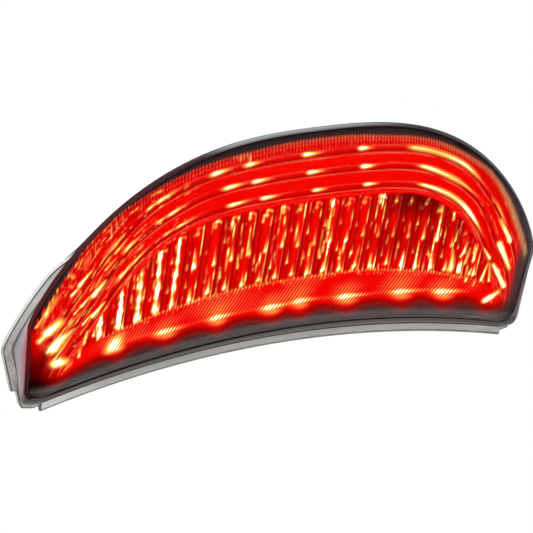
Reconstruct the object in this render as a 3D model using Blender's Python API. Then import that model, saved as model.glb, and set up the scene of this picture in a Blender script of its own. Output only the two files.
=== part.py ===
# Integrated LED tail light for a sport motorcycle, built as an assembly.
# The light faces -Y and bolts to the motorcycle on its +Y side; +X is across, +Z is up.
# The origin is on the face of the centre mount pad, ORIGIN_UP above the middle of its bore.
# Left is -X and right is +X. Dimensions are in millimetres from the middle of that bore.
import math
from typing import Callable, NamedTuple

import bmesh
import bpy
import numpy as np

for old in list(bpy.data.objects):
    bpy.data.objects.remove(old, do_unlink=True)

MM = 0.001
ORIGIN_UP = 8.5
ORIGIN = np.array([0.0, 0.0, ORIGIN_UP])

# ---------------------------------------------------------------- dimensions
FIT_GAP = 0.3                 # clearance between neighbouring pieces
COLUMNS = 66                  # columns across every outline; three to a flute

# Lens. A point on the face is x across, p up the raked face and n in behind the rim plane.
LENS_RAKE = math.radians(18.5)  # how far the top of the face leans out towards -Y
LENS_Y, LENS_Z = -54.0, -5.0  # middle of the shoulder line of the rim
RIM_HALF = 100.5              # half width at the shoulders
RIM_RISE = 63.2               # top above the shoulder line
RIM_POWER = 2.7               # squareness of the arch over the top
RIM_FALL = 31.0               # lower corners below the shoulder line
RIM_ARCH = 18.0               # middle of the bottom below the shoulder line
CROWN = 6.0                   # how far the face bulges out
LENS_WALL = 2.5

# Perimeter lip of the lens, in a plane square to Y, and the seal behind it
FLANGE_Y = -43.0              # its front
FLANGE_T = 2.4
FLANGE_HALF = 105.3
FLANGE_SHOULDER_Z = -15.1
FLANGE_RISE = 59.0
SKIRT_INSET = 3.4             # where the outside of the lens wall meets the lip
LIP_INSET = 6.4               # inner edge of the lip
SEAL_T = 1.5
SEAL_INSET = 4.1              # outer edges of the seal and of the housing mouth
SEAL_INNER_INSET = 7.0

# Parts behind the lens, by depth n
REFLECTOR_N, REFLECTOR_T = 11.0, 1.4
REFLECTOR_RIM_N = 9.8
BOARD_N, BOARD_T = 15.4, 1.6
BOARD_BACK_N = BOARD_N + BOARD_T
LED_SIZE, LED_T = 3.5, 2.2
LED_TRIM = 0.2                # the square body stops twice this short of LED_T

# Housing and mounts
SEAL_FRONT_Y = FLANGE_Y + FLANGE_T + FIT_GAP
HOUSING_FRONT_Y = SEAL_FRONT_Y + SEAL_T + FIT_GAP
HOUSING_BACK_Y = -6.0
HOUSING_WALL = 2.5
MOUNT_PADS = {"left": (-58.0, -6.0), "centre": (0.0, 0.0), "right": (58.0, -6.0)}  # x, z
PAD_R, PAD_DEPTH = 10.0, 13.5
GROMMET_R = 6.6
COLLAR_R, COLLAR_BORE_R = 4.3, 3.2
HARNESS_X, HARNESS_Z = 27.0, 6.0
VENT_X, VENT_Z = -27.0, 6.0

# Directions
ACROSS = np.array([1.0, 0.0, 0.0])
BACKWARD = np.array([0.0, 1.0, 0.0])
UP_FACE = np.array([0.0, -math.sin(LENS_RAKE), math.cos(LENS_RAKE)])
BEHIND_FACE = np.array([0.0, math.cos(LENS_RAKE), math.sin(LENS_RAKE)])
WORLD_AXES = np.eye(3)
FACE_AXES = np.array([ACROSS, UP_FACE, BEHIND_FACE])


# ---------------------------------------------------------------- finishes
class Finish(NamedTuple):
    colour: tuple
    roughness: float
    metallic: float = 0.0
    alpha: float = 1.0


SMOKED_RED = Finish(colour=(0.30, 0.13, 0.14), roughness=0.06, alpha=0.45)
CLEAR_RED = Finish(colour=(0.78, 0.02, 0.02), roughness=0.12, alpha=0.7)
MIRROR = Finish(colour=(0.82, 0.82, 0.84), roughness=0.15, metallic=0.9)
BOARD_GREEN = Finish(colour=(0.03, 0.16, 0.07), roughness=0.45)
LED_YELLOW = Finish(colour=(0.95, 0.85, 0.6), roughness=0.25)
SCREW_METAL = Finish(colour=(0.55, 0.55, 0.57), roughness=0.3, metallic=1.0)
COLLAR_METAL = Finish(colour=(0.62, 0.62, 0.64), roughness=0.3, metallic=1.0)
TERMINAL_METAL = Finish(colour=(0.75, 0.6, 0.3), roughness=0.25, metallic=1.0)
RESISTOR_BLACK = Finish(colour=(0.02, 0.02, 0.022), roughness=0.5)
SEAL_BLACK = Finish(colour=(0.03, 0.03, 0.03), roughness=0.85)
HOUSING_BLACK = Finish(colour=(0.015, 0.015, 0.017), roughness=0.5)
GROMMET_BLACK = Finish(colour=(0.02, 0.02, 0.02), roughness=0.9)
VENT_BLACK = Finish(colour=(0.05, 0.05, 0.05), roughness=0.7)
SLEEVE_BLACK = Finish(colour=(0.03, 0.03, 0.03), roughness=0.7)
WIRE_BLACK = Finish(colour=(0.02, 0.02, 0.02), roughness=0.45)
WIRE_RED = Finish(colour=(0.5, 0.02, 0.02), roughness=0.45)
WIRE_YELLOW = Finish(colour=(0.55, 0.40, 0.03), roughness=0.45)
PLUG_WHITE = Finish(colour=(0.85, 0.85, 0.82), roughness=0.4)
LATCH_WHITE = Finish(colour=(0.80, 0.80, 0.78), roughness=0.4)
RETAINER_RED = Finish(colour=(0.75, 0.08, 0.05), roughness=0.4)
HELPER_GREY = Finish(colour=(0.5, 0.5, 0.5), roughness=0.5)


def material(name, finish):
    made = bpy.data.materials.new(name)
    made.use_nodes = True
    inputs = made.node_tree.nodes["Principled BSDF"].inputs
    inputs["Base Color"].default_value = (*finish.colour, 1.0)
    inputs["Roughness"].default_value = finish.roughness
    inputs["Metallic"].default_value = finish.metallic
    inputs["Alpha"].default_value = finish.alpha
    made.diffuse_color = (*finish.colour, finish.alpha)
    return made


# ---------------------------------------------------------------- objects
# A shape is a pair: points in millimetres, and faces as tuples of point numbers.
def placed(point):
    """A point in millimetres from the bore, as metres from the origin."""
    return tuple((np.asarray(point, float) - ORIGIN) * MM)


def solid(name, shape, finish, sharp=32.0):
    """A mesh object from a shape, its faces turned outward; sharp is in degrees."""
    verts, faces = shape
    mesh = bpy.data.meshes.new(name)
    mesh.from_pydata([placed(v) for v in verts], [], faces)
    bm = bmesh.new()
    bm.from_mesh(mesh)
    bmesh.ops.remove_doubles(bm, verts=bm.verts, dist=1e-7)
    bmesh.ops.triangulate(bm, faces=bm.faces)
    bmesh.ops.recalc_face_normals(bm, faces=bm.faces)
    if bm.calc_volume(signed=True) < 0:
        bmesh.ops.reverse_faces(bm, faces=bm.faces)
    bm.to_mesh(mesh)
    bm.free()
    obj = bpy.data.objects.new(name, mesh)
    bpy.context.scene.collection.objects.link(obj)
    mesh.materials.append(material(name + "_finish", finish))
    for poly in mesh.polygons:
        poly.use_smooth = True
    mesh.set_sharp_from_angle(angle=math.radians(sharp))
    return obj


def boolean(target, name, shape, operation):
    """Cut or add a shape through a modifier; returns the helper object that carries it."""
    helper = solid(name, shape, HELPER_GREY)
    helper.hide_render = True
    helper.display_type = "WIRE"
    mod = target.modifiers.new(operation.lower() + "_" + name, "BOOLEAN")
    mod.operation = operation
    mod.solver = "EXACT"
    mod.object = helper
    return helper


def booleans(target, prefix, shapes, operation):
    """One numbered boolean for each shape in turn."""
    return [boolean(target, f"{prefix}_{k}", shape, operation) for k, shape in enumerate(shapes)]


# ---------------------------------------------------------------- shapes
def tube_of_rings(rings, closed=False):
    """Rings of equal length joined one after another, and back to the first if closed."""
    count = len(rings[0])
    verts = [v for ring in rings for v in ring]
    faces = []
    steps = len(rings) if closed else len(rings) - 1
    for r in range(steps):
        here, there = r * count, ((r + 1) % len(rings)) * count
        for i in range(count):
            j = (i + 1) % count
            faces.append((here + i, here + j, there + j, there + i))
    return verts, faces


def capped(rings, start=None, end=None):
    """Rings joined, with each end closed by a fan to a point (or a flat cap)."""
    verts, faces = tube_of_rings(rings)
    count = len(rings[0])
    for first, point in ((0, start), ((len(rings) - 1) * count, end)):
        if point is None:
            faces.append(tuple(range(first, first + count)))
        else:
            hub = len(verts)
            verts.append(point)
            faces += [(first + i, first + (i + 1) % count, hub) for i in range(count)]
    return verts, faces


def side_of(axis):
    """A unit vector square to an axis, and level unless the axis is upright."""
    side = np.cross(axis, [0.0, 0.0, 1.0])
    if np.linalg.norm(side) < 1e-6:
        side = ACROSS
    return side / np.linalg.norm(side)


def circle(centre, side, up, radius, count):
    angles = [2 * math.pi * k / count for k in range(count)]
    return [centre + radius * (side * math.cos(a) + up * math.sin(a)) for a in angles]


def turned(base, axis, profile, count):
    """A body of revolution. The profile is (distance along axis, radius) pairs;
    a closed profile makes a ring, and one that starts and ends at radius 0 a plug."""
    base = np.asarray(base, float)
    axis = np.asarray(axis, float) / np.linalg.norm(axis)
    side = side_of(axis)
    up = np.cross(axis, side)
    rings = [circle(base + axis * along, side, up, radius, count)
             for along, radius in profile if radius > 0]
    if profile[0][1] > 0:
        return tube_of_rings(rings, closed=True)
    return capped(rings, base + axis * profile[0][0], base + axis * profile[-1][0])


def rod(base, axis, length, radius, count):
    return turned(base, axis, ((0, 0), (0, radius), (length, radius), (length, 0)), count)


def block(centre, half, axes=WORLD_AXES):
    """A box about a centre with half sizes along three axes."""
    verts = [centre + sx * half[0] * axes[0] + sy * half[1] * axes[1] + sz * half[2] * axes[2]
             for sx in (-1, 1) for sy in (-1, 1) for sz in (-1, 1)]
    faces = [(0, 1, 3, 2), (4, 6, 7, 5), (0, 4, 5, 1), (2, 3, 7, 6), (0, 2, 6, 4), (1, 5, 7, 3)]
    return verts, faces


def joined(shapes):
    verts, faces = [], []
    for more_verts, more_faces in shapes:
        base = len(verts)
        verts += more_verts
        faces += [tuple(base + i for i in face) for face in more_faces]
    return verts, faces


def path_rings(path, radius, count):
    """Circles along a path, carried from point to point without twisting."""
    rings = []
    side = None
    for i, point in enumerate(path):
        ahead = path[min(i + 1, len(path) - 1)] - path[max(i - 1, 0)]
        ahead = ahead / np.linalg.norm(ahead)
        if side is None:
            side = side_of(ahead)
        side = side - ahead * float(side @ ahead)
        side = side / np.linalg.norm(side)
        rings.append(circle(point, side, np.cross(ahead, side), radius, count))
    return rings


def sweep(path, radius, count):
    """A round bar along a path of points."""
    return capped(path_rings(path, radius, count), path[0], path[-1])


def hose(path, outer_r, inner_r, count):
    """A round pipe along a path of points."""
    inside = path_rings(path, inner_r, count)
    return tube_of_rings(path_rings(path, outer_r, count) + inside[::-1], closed=True)


def spline(points, steps):
    """Points along a smooth curve through the given points."""
    pts = [2 * points[0] - points[1]] + points + [2 * points[-1] - points[-2]]
    out = []
    for i in range(1, len(pts) - 2):
        a, b, c, d = pts[i - 1:i + 3]
        for k in range(steps):
            t = k / steps
            out.append(0.5 * (2 * b + (c - a) * t + (2 * a - 5 * b + 4 * c - d) * t * t
                              + (3 * b - a - 3 * c + d) * t ** 3))
    out.append(points[-1])
    return out


def blend(start, end, share):
    """Points part of the way from start to end; start may be a single point."""
    start = np.asarray(start)
    return start + (np.asarray(end) - start) * share


# ---------------------------------------------------------------- outlines
def arch(x, half, base, rise, power, shape):
    share = min(abs(x) / half, 1.0)
    return base + rise * (1.0 - share ** power) ** shape


def even(points, count):
    """Points spaced evenly along a line through the given points."""
    pts = np.array(points, float)
    gaps = np.hypot(*np.diff(pts, axis=0).T)
    along = np.concatenate([[0.0], np.cumsum(gaps)])
    want = np.linspace(0.0, along[-1], count)
    return np.stack([np.interp(want, along, pts[:, 0]), np.interp(want, along, pts[:, 1])], 1)


def half_moon(half, side_in, corner_base, corner_r, top, bottom):
    """A half-moon outline as a ring of 2 * COLUMNS points: the lower left corner,
    up and over the top to the lower right corner, then back along the bottom.
    The corners are drawn in by side_in; top and bottom give the height at x."""
    corner_x = half - side_in - corner_r
    corner_up = corner_base + corner_r

    def corner(centre_x, turns):
        return [(centre_x + corner_r * math.cos(math.pi * t), corner_up + corner_r * math.sin(math.pi * t))
                for t in turns]

    over = corner(-corner_x, [1.25 - 0.25 * k / 8 for k in range(9)])
    for k in range(1, 200):
        x = -half * math.cos(math.pi * k / 200)
        over.append((x, top(x)))
    over += corner(corner_x, [-0.25 * k / 8 for k in range(9)])
    under = [over[-1]]
    for k in range(1, 60):
        x = corner_x - 2 * corner_x * k / 60
        under.append((x, bottom(x)))
    under.append(over[0])
    return np.concatenate([even(over, COLUMNS + 1)[:-1], even(under, COLUMNS + 1)[:-1]])


def rim_droop(x):
    """How far the bottom of the rim curves down away from the middle."""
    return 12.6 * (x / 92.0) ** 2


def rim_ring(inward=0.0):
    """The lens rim, in (across, up the face), drawn in by a distance."""
    half = RIM_HALF - inward
    return half_moon(
        half, side_in=1.5, corner_base=-RIM_FALL + inward, corner_r=max(5.0 - 0.4 * inward, 1.5),
        top=lambda x: arch(x, half, 0.0, RIM_RISE - inward, RIM_POWER, 0.8),
        bottom=lambda x: -RIM_ARCH + inward - rim_droop(x))


def flange_ring(inward=0.0):
    """The perimeter lip, in (across, up), drawn in by a distance."""
    half = FLANGE_HALF - inward
    return half_moon(
        half, side_in=3.6, corner_base=-39.2 + inward, corner_r=max(4.0 - 0.3 * inward, 1.5),
        top=lambda x: arch(x, half, FLANGE_SHOULDER_Z, FLANGE_RISE - inward, 2.2, 0.85),
        bottom=lambda x: -27.8 + inward - 10.6 * (x / 93.0) ** 2)


def crown(x, p):
    """Depth of the bulged face: nought at the rim and smooth across the middle."""
    top = 50.0 * (1.0 - min(abs(x) / RIM_HALF, 1.0) ** RIM_POWER
                  - (max(p, 0.0) / RIM_RISE) ** 1.25)
    low = p + RIM_ARCH + rim_droop(x)
    top, low = max(top, 0.0), max(low, 0.0)
    return -CROWN * math.tanh((top + low - math.hypot(top, low)) / 11.0)


def face_point(x, p, n):
    return np.array([x, LENS_Y, LENS_Z]) + p * UP_FACE + n * BEHIND_FACE


def on_face(ring, n):
    """An (across, up the face) ring at depth n behind the rim plane."""
    return [face_point(x, p, n) for x, p in ring]


def on_crown(ring, n):
    """An (across, up the face) ring at depth n behind the bulged face."""
    return [face_point(x, p, n + crown(x, p)) for x, p in ring]


def upright(ring, y):
    """An (across, up) ring in a plane square to Y."""
    return [np.array([x, y, z]) for x, z in ring]


# ---------------------------------------------------------------- outer lens
FACE_MIDDLE = np.array([0.0, 15.0])
FACE_SHARES = (0.32, 0.6, 0.8, 0.92)  # rings of the face, as shares of the rim


def outer_lens():
    """The outside from the middle of the face to the lip, then back along the inside."""
    rim = rim_ring()
    lip = flange_ring()
    rim_edge = on_face(rim, 0.6)
    skirt = upright(flange_ring(SKIRT_INSET), FLANGE_Y)
    lip_inner = upright(flange_ring(LIP_INSET), FLANGE_Y + FLANGE_T)
    rim_inner = on_face(rim_ring(LENS_WALL + 0.9), LENS_WALL - 0.6)

    rings = [on_crown(blend(FACE_MIDDLE, rim, share), 0.0) for share in FACE_SHARES]
    rings += [
        on_face(rim_ring(0.5), -0.3),
        rim_edge,
        blend(rim_edge, skirt, 0.5),
        skirt,
        upright(flange_ring(0.3), FLANGE_Y),
        upright(lip, FLANGE_Y + 0.4),
        upright(lip, FLANGE_Y + FLANGE_T),
        lip_inner,
        blend(lip_inner, rim_inner, 0.5),
        rim_inner,
    ]
    rings += [on_crown(blend(FACE_MIDDLE, rim, share * 0.98), LENS_WALL)
              for share in reversed(FACE_SHARES)]
    front, back = (on_crown([FACE_MIDDLE], n)[0] for n in (0.0, LENS_WALL))
    return capped(rings, front, back)


solid("outer_lens", outer_lens(), SMOKED_RED)

# ---------------------------------------------------------------- optic
OPTIC_GAP = 2.2           # between the back of the lens and the optic
OPTIC_INSET = 7.0
OPTIC_BACK = 4.4          # back of the optic, behind its foremost surface
ZONE_HALF = 80.0          # half width of the fluted zone
ZONE_TIP = -9.0           # height of its pointed ends
ZONE_SINK = 0.9           # edge of the zone, behind the foremost surface
ZONE_ROWS = 2             # rows of points inside the zone
FLUTE_DEPTH = 0.9
# share of the way from the optic's rim to the fluted zone, depth behind the foremost surface
OPTIC_STEPS = ((0.0, 2.2), (0.12, 0.0), (0.36, 0.0), (0.37, 1.3), (0.63, 0.2),
               (0.64, 1.5), (0.88, 0.4), (0.89, 1.7), (1.0, ZONE_SINK))
ZONE_X = [-ZONE_HALF + 2 * ZONE_HALF * k / COLUMNS for k in range(COLUMNS + 1)]


def zone_top(x):
    return arch(x, ZONE_HALF, ZONE_TIP, 44.0, 2.3, 0.85)


def zone_bottom(x):
    return 3.9 - 12.9 * (min(abs(x), ZONE_HALF) / ZONE_HALF) ** 2.1


def optic_rim():
    half = RIM_HALF - OPTIC_INSET
    return half_moon(
        half, side_in=2.0, corner_base=-RIM_FALL + OPTIC_INSET, corner_r=2.5,
        top=lambda x: arch(x, half, -5.0, RIM_RISE - 8.5, 2.6, 0.9),
        bottom=lambda x: -RIM_ARCH + 6.0 - rim_droop(x))


def optic_point(x, p, depth):
    """A point behind the optic's foremost surface, which follows the lens."""
    return face_point(x, p, crown(x, p) + LENS_WALL + OPTIC_GAP + depth)


def fill_zone(verts, faces, first, depths):
    """Fill the zone inside the ring that starts at point number first.
    The three depths repeat across the columns."""
    grid = []
    for c, x in enumerate(ZONE_X):
        column = [first + c]
        if 0 < c < COLUMNS:
            for r in range(1, ZONE_ROWS + 1):
                p = zone_top(x) + (zone_bottom(x) - zone_top(x)) * (r / (ZONE_ROWS + 1))
                column.append(len(verts))
                verts.append(optic_point(x, p, depths[c % 3]))
            column.append(first + 2 * COLUMNS - c)
        grid.append(column)
    for a, b in zip(grid, grid[1:]):
        if len(a) == 1:
            faces += [(a[0], b[r], b[r + 1]) for r in range(len(b) - 1)]
        elif len(b) == 1:
            faces += [(a[r], b[0], a[r + 1]) for r in range(len(a) - 1)]
        else:
            faces += [(a[r], b[r], b[r + 1], a[r + 1]) for r in range(len(a) - 1)]


def optic_lens():
    """Stepped around a middle zone of upright flutes, and smooth behind."""
    rim = optic_rim()
    zone = np.array([(x, zone_top(x)) for x in ZONE_X[:-1]]
                    + [(x, zone_bottom(x)) for x in reversed(ZONE_X[1:])])
    stations = OPTIC_STEPS[::-1] + tuple((share, OPTIC_BACK) for share in (0.0, 0.5, 1.0))
    rings = [[optic_point(x, p, depth) for x, p in blend(rim, zone, share)]
             for share, depth in stations]
    verts, faces = tube_of_rings(rings)
    flutes = [ZONE_SINK - lift * FLUTE_DEPTH for lift in (0.0, 1.0, 0.35)]
    fill_zone(verts, faces, 0, flutes)
    fill_zone(verts, faces, (len(rings) - 1) * 2 * COLUMNS, [OPTIC_BACK] * 3)
    return verts, faces


solid("optic_lens", optic_lens(), CLEAR_RED, sharp=12.0)


# ---------------------------------------------------------------- light source
class BoardRow(NamedTuple):
    """A curved circuit board with a row of LEDs, held by a screw at each side."""
    line: Callable        # height of the LEDs at x, up the face
    led_xs: tuple         # LEDs on the right half; the left half mirrors them
    half: float           # half length of the board
    below: float          # lower edge below the line
    above: float          # upper edge above the line
    screw_x: float
    screw_p: float
    foot_spread: float    # x of a screw post's foot as a share of the screw's x
    foot_z: float

    def screws(self):
        return {"left": (-self.screw_x, self.screw_p), "right": (self.screw_x, self.screw_p)}


def lower_line(x):
    return 1.5 - 7.0 * (x / 80.0) ** 2


def upper_line(x):
    return arch(x, 96.0, -10.0, 40.5, 2.3, 0.85)


ROWS = {
    "lower": BoardRow(line=lower_line, led_xs=(5.0, 24.0, 42.5, 60.0, 76.0),
                      half=84.5, below=5.0, above=5.0, screw_x=68.0, screw_p=-3.6,
                      foot_spread=1.07, foot_z=-10.2),
    "upper": BoardRow(line=upper_line, led_xs=(10.0, 29.5, 48.0, 62.5),
                      half=67.0, below=6.0, above=4.5, screw_x=18.5, screw_p=26.4,
                      foot_spread=0.9, foot_z=11.3),
}
BOARD_COLUMNS = 22
BOARD_HOLE_R = 1.7
WINDOW_HALF = (2.6, 2.6, 2.0)
RESISTOR_X = -40.0
RESISTOR_HALF = (6.0, 3.0, 2.0)
TRAY_INSET = 11.5
# (distance out from the board side of the LED, radius)
LED_DOME = ((LED_T - 0.6, 0), (LED_T - 0.6, 1.3), (LED_T + 0.25, 1.05), (LED_T + 0.6, 0.5),
            (LED_T + 0.7, 0))
# (distance back from under the head, radius)
BOARD_SCREW = ((-1.5, 0), (-1.5, 1.6), (-1.0, 2.5), (0, 2.5), (0, 1.25), (6.6, 1.25),
               (7.2, 0.6), (7.2, 0))


def led_places():
    """(name, x, p) of every light-emitting diode."""
    places = []
    for label, row in ROWS.items():
        xs = [-x for x in reversed(row.led_xs)] + list(row.led_xs)
        places += [(f"led_{label}_{k:02d}", x, row.line(x)) for k, x in enumerate(xs, 1)]
    return places


def tray_ring(inward):
    half = RIM_HALF - TRAY_INSET - inward
    return half_moon(
        half, side_in=1.5, corner_base=-RIM_FALL + TRAY_INSET + inward, corner_r=2.0,
        top=lambda x: arch(x, half, -9.0, 58.5 - inward, 2.4, 0.92),
        bottom=lambda x: -RIM_ARCH + TRAY_INSET + inward - rim_droop(x))


def reflector():
    """A shallow tray: back skin, rim and front skin."""
    return capped([on_face(tray_ring(3.4), REFLECTOR_N + REFLECTOR_T),
                   on_face(tray_ring(0.0), REFLECTOR_RIM_N),
                   on_face(tray_ring(1.3), REFLECTOR_RIM_N),
                   on_face(tray_ring(4.6), REFLECTOR_N)])


def strip_board(row):
    """A circuit board: a curved strip between two edges."""
    xs = [-row.half + 2 * row.half * k / BOARD_COLUMNS for k in range(BOARD_COLUMNS + 1)]
    ring = ([(x, row.line(x) - row.below) for x in xs]
            + [(x, row.line(x) + row.above) for x in reversed(xs)])
    return capped([on_face(ring, BOARD_N), on_face(ring, BOARD_BACK_N)])


tray = solid("reflector", reflector(), MIRROR)
windows = [block(face_point(x, p, REFLECTOR_N + REFLECTOR_T / 2), WINDOW_HALF, FACE_AXES)
           for _, x, p in led_places()]
boolean(tray, "reflector_windows", joined(windows), "DIFFERENCE")

for label, row in ROWS.items():
    board = solid("led_board_" + label, strip_board(row), BOARD_GREEN)
    holes = [rod(face_point(x, p, BOARD_N - 2), BEHIND_FACE, BOARD_T + 4, BOARD_HOLE_R, 12)
             for x, p in row.screws().values()]
    boolean(board, "board_holes_" + label, joined(holes), "DIFFERENCE")
    for side, (x, p) in row.screws().items():
        screw = turned(face_point(x, p, BOARD_N - FIT_GAP), BEHIND_FACE, BOARD_SCREW, 12)
        solid(f"board_screw_{label}_{side}", screw, SCREW_METAL)

for name, x, p in led_places():
    body = block(face_point(x, p, BOARD_N - FIT_GAP - LED_T / 2 + LED_TRIM),
                 (LED_SIZE / 2, LED_SIZE / 2, LED_T / 2 - LED_TRIM), FACE_AXES)
    dome = turned(face_point(x, p, BOARD_N - FIT_GAP), -BEHIND_FACE, LED_DOME, 10)
    led = solid(name, body, LED_YELLOW)
    boolean(led, name + "_dome", dome, "UNION")

resistor_centre = face_point(RESISTOR_X, upper_line(RESISTOR_X) - 0.5,
                             BOARD_BACK_N + FIT_GAP + RESISTOR_HALF[2])
solid("resistor_pack", block(resistor_centre, RESISTOR_HALF, FACE_AXES), RESISTOR_BLACK)


# ---------------------------------------------------------------- seal
def lens_seal():
    outer, inner = flange_ring(SEAL_INSET), flange_ring(SEAL_INNER_INSET)
    front, back = SEAL_FRONT_Y, SEAL_FRONT_Y + SEAL_T
    return tube_of_rings([upright(outer, front), upright(outer, back),
                          upright(inner, back), upright(inner, front)], closed=True)


solid("lens_seal", lens_seal(), SEAL_BLACK)

# ---------------------------------------------------------------- housing
BACK_CENTRE = np.array([0.0, -3.0])   # x, z
BACK_WIDTH_SHARE = 0.80               # size of the back against the mouth
BACK_ABOVE_SHARE, BACK_BELOW_SHARE = 0.58, 0.86
POST_R = 2.9
POST_HOLE_R = 1.45


def back_ring(inward):
    """The outline of the housing at its back, reduced from the mouth outline."""
    ring = flange_ring(SEAL_INSET + inward)
    middle_z = BACK_CENTRE[1]
    share = np.where(ring[:, 1] > middle_z, BACK_ABOVE_SHARE, BACK_BELOW_SHARE)
    return np.stack([ring[:, 0] * BACK_WIDTH_SHARE, middle_z + (ring[:, 1] - middle_z) * share], 1)


def housing():
    """A tub open to the front: outside from the back wall forward, then the inside."""
    mouth, back = flange_ring(SEAL_INSET), back_ring(0.0)
    return capped([upright(blend(BACK_CENTRE, back, 0.975), HOUSING_BACK_Y),
                   upright(back, HOUSING_BACK_Y - 1.2),
                   upright(mouth, HOUSING_FRONT_Y + 2.4),
                   upright(mouth, HOUSING_FRONT_Y),
                   upright(flange_ring(SEAL_INSET + HOUSING_WALL + 0.5), HOUSING_FRONT_Y),
                   upright(back_ring(HOUSING_WALL + 0.6), HOUSING_BACK_Y - HOUSING_WALL)])


def screw_post(row, x, p):
    """A post from behind a board down to the back wall, and the hole for its screw."""
    base = face_point(x, p, BOARD_BACK_N + FIT_GAP)
    foot = np.array([x * row.foot_spread, HOUSING_BACK_Y - HOUSING_WALL / 2, row.foot_z])
    lean = (foot - (base + BEHIND_FACE * 8.2)) * 0.04
    path = [base, base + BEHIND_FACE * 7.0, base + BEHIND_FACE * 9.0 + lean, foot]
    hole = rod(base - BEHIND_FACE, BEHIND_FACE, 8.5, POST_HOLE_R, 12)
    return sweep(path, POST_R, 14), hole


tub = solid("housing", housing(), HOUSING_BLACK)
lumps, cuts = [], []
for x, z in MOUNT_PADS.values():
    lumps.append(rod((x, -PAD_DEPTH, z), BACKWARD, PAD_DEPTH, PAD_R, 32))
    cuts.append(rod((x, -20.0, z), BACKWARD, 25.0, GROMMET_R + FIT_GAP, 30))
cuts.append(rod((HARNESS_X, -12.0, HARNESS_Z), BACKWARD, 10.0, 5.3, 24))
cuts.append(rod((VENT_X, -12.0, VENT_Z), BACKWARD, 10.0, 2.3, 16))
for row in ROWS.values():
    for x, p in row.screws().values():
        post, hole = screw_post(row, x, p)
        lumps.append(post)
        cuts.append(hole)
booleans(tub, "housing_lump", lumps, "UNION")
booleans(tub, "housing_cut", cuts, "DIFFERENCE")

# ---------------------------------------------------------------- housing hardware
# Profiles are (y from the base, radius); the mount pad faces are at y = 0.
MOUNT_GROMMET = ((-0.5, COLLAR_R + FIT_GAP), (-13.8, COLLAR_R + FIT_GAP),
                 (-15.9, COLLAR_R + FIT_GAP), (-15.9, GROMMET_R + 2.2),
                 (-13.8, GROMMET_R + 2.6), (-13.8, GROMMET_R), (-0.5, GROMMET_R))
MOUNT_COLLAR = ((-0.1, COLLAR_BORE_R), (-17.6, COLLAR_BORE_R), (-17.6, COLLAR_R + 2.8),
                (-16.2, COLLAR_R + 2.8), (-16.2, COLLAR_R), (-0.1, COLLAR_R))
VENT_CAP = ((-5.0, 0), (-5.0, 1.9), (0.3, 1.9), (0.3, 4.2), (1.8, 4.2), (2.6, 3.4), (2.6, 0))
HARNESS_GROMMET = ((-4.6, 2.6), (-4.6, 6.2), (-2.9, 6.6), (-2.9, 5.0), (0.4, 5.0),
                   (0.4, 7.0), (2.2, 7.0), (6.0, 4.6), (6.0, 2.6))

for label, (x, z) in MOUNT_PADS.items():
    solid("mount_grommet_" + label, turned((x, 0, z), BACKWARD, MOUNT_GROMMET, 24), GROMMET_BLACK)
    solid("mount_collar_" + label, turned((x, 0, z), BACKWARD, MOUNT_COLLAR, 24), COLLAR_METAL)

solid("vent_cap", turned((VENT_X, HOUSING_BACK_Y, VENT_Z), BACKWARD, VENT_CAP, 20), VENT_BLACK)
solid("harness_grommet",
      turned((HARNESS_X, HOUSING_BACK_Y, HARNESS_Z), BACKWARD, HARNESS_GROMMET, 24),
      GROMMET_BLACK)


# ---------------------------------------------------------------- wiring
class Wire(NamedTuple):
    label: str
    lane: int        # place in the connector, counted from its middle
    bend_z: float    # height of the bend inside the housing
    finish: Finish


WIRES = (Wire("ground", 0, 12.6, WIRE_BLACK),
         Wire("running", -1, 10.2, WIRE_RED),
         Wire("brake", 1, 10.2, WIRE_YELLOW))
WIRE_R = 0.95
WIRE_PITCH = 3.6             # between lanes in the connector
BUNDLE_R = 1.5               # from the middle of the bundle to each wire
SPLINE_STEPS = 3
SLEEVE_R, SLEEVE_WALL = 3.6, 0.9
PLUG = np.array([22.0, 52.0, -10.0])     # centre of the connector
PLUG_HALF = np.array([6.4, 10.5, 5.4])
# middle of the bundle, from inside the housing to the connector
TRUNK = [np.array(point) for point in (
    (HARNESS_X, -19.0, HARNESS_Z), (HARNESS_X, -12.0, HARNESS_Z), (HARNESS_X, -4.0, HARNESS_Z),
    (HARNESS_X, 3.0, HARNESS_Z), (HARNESS_X, 9.0, 5.6), (26.5, 15.0, 2.8),
    (25.0, 22.0, -3.0), (23.2, 29.0, -8.2), (22.0, 35.0, -10.0))]
SLEEVE_PATH = TRUNK[4:-1] + [np.array([22.2, 33.0, -9.6])]


def lane_point(wire, y, z=0.0):
    """A point in a wire's lane of the connector, from the connector's centre."""
    return PLUG + (wire.lane * WIRE_PITCH, y, z)


def wire_path(wire, k):
    """From behind the upper board, through the bundle, into the connector."""
    start = face_point(HARNESS_X + 3.2 * wire.lane, upper_line(HARNESS_X) - 3.0,
                       BOARD_BACK_N + 0.4)
    angle = math.pi / 2 + 2 * math.pi * k / 3
    offset = np.array([BUNDLE_R * math.cos(angle), 0.0, BUNDLE_R * math.sin(angle)])
    return [start,
            start + (0.0, 4.0, 0.5),
            np.array([HARNESS_X + 2.2 * wire.lane, -27.0, wire.bend_z]),
            *(point + offset for point in TRUNK),
            lane_point(wire, -PLUG_HALF[1] - 2.5),
            lane_point(wire, -PLUG_HALF[1] + 3.0)]


for k, wire in enumerate(WIRES):
    solid("wire_" + wire.label, sweep(spline(wire_path(wire, k), SPLINE_STEPS), WIRE_R, 8),
          wire.finish)

solid("harness_sleeve",
      hose(spline(SLEEVE_PATH, SPLINE_STEPS), SLEEVE_R, SLEEVE_R - SLEEVE_WALL, 12),
      SLEEVE_BLACK)

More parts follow.
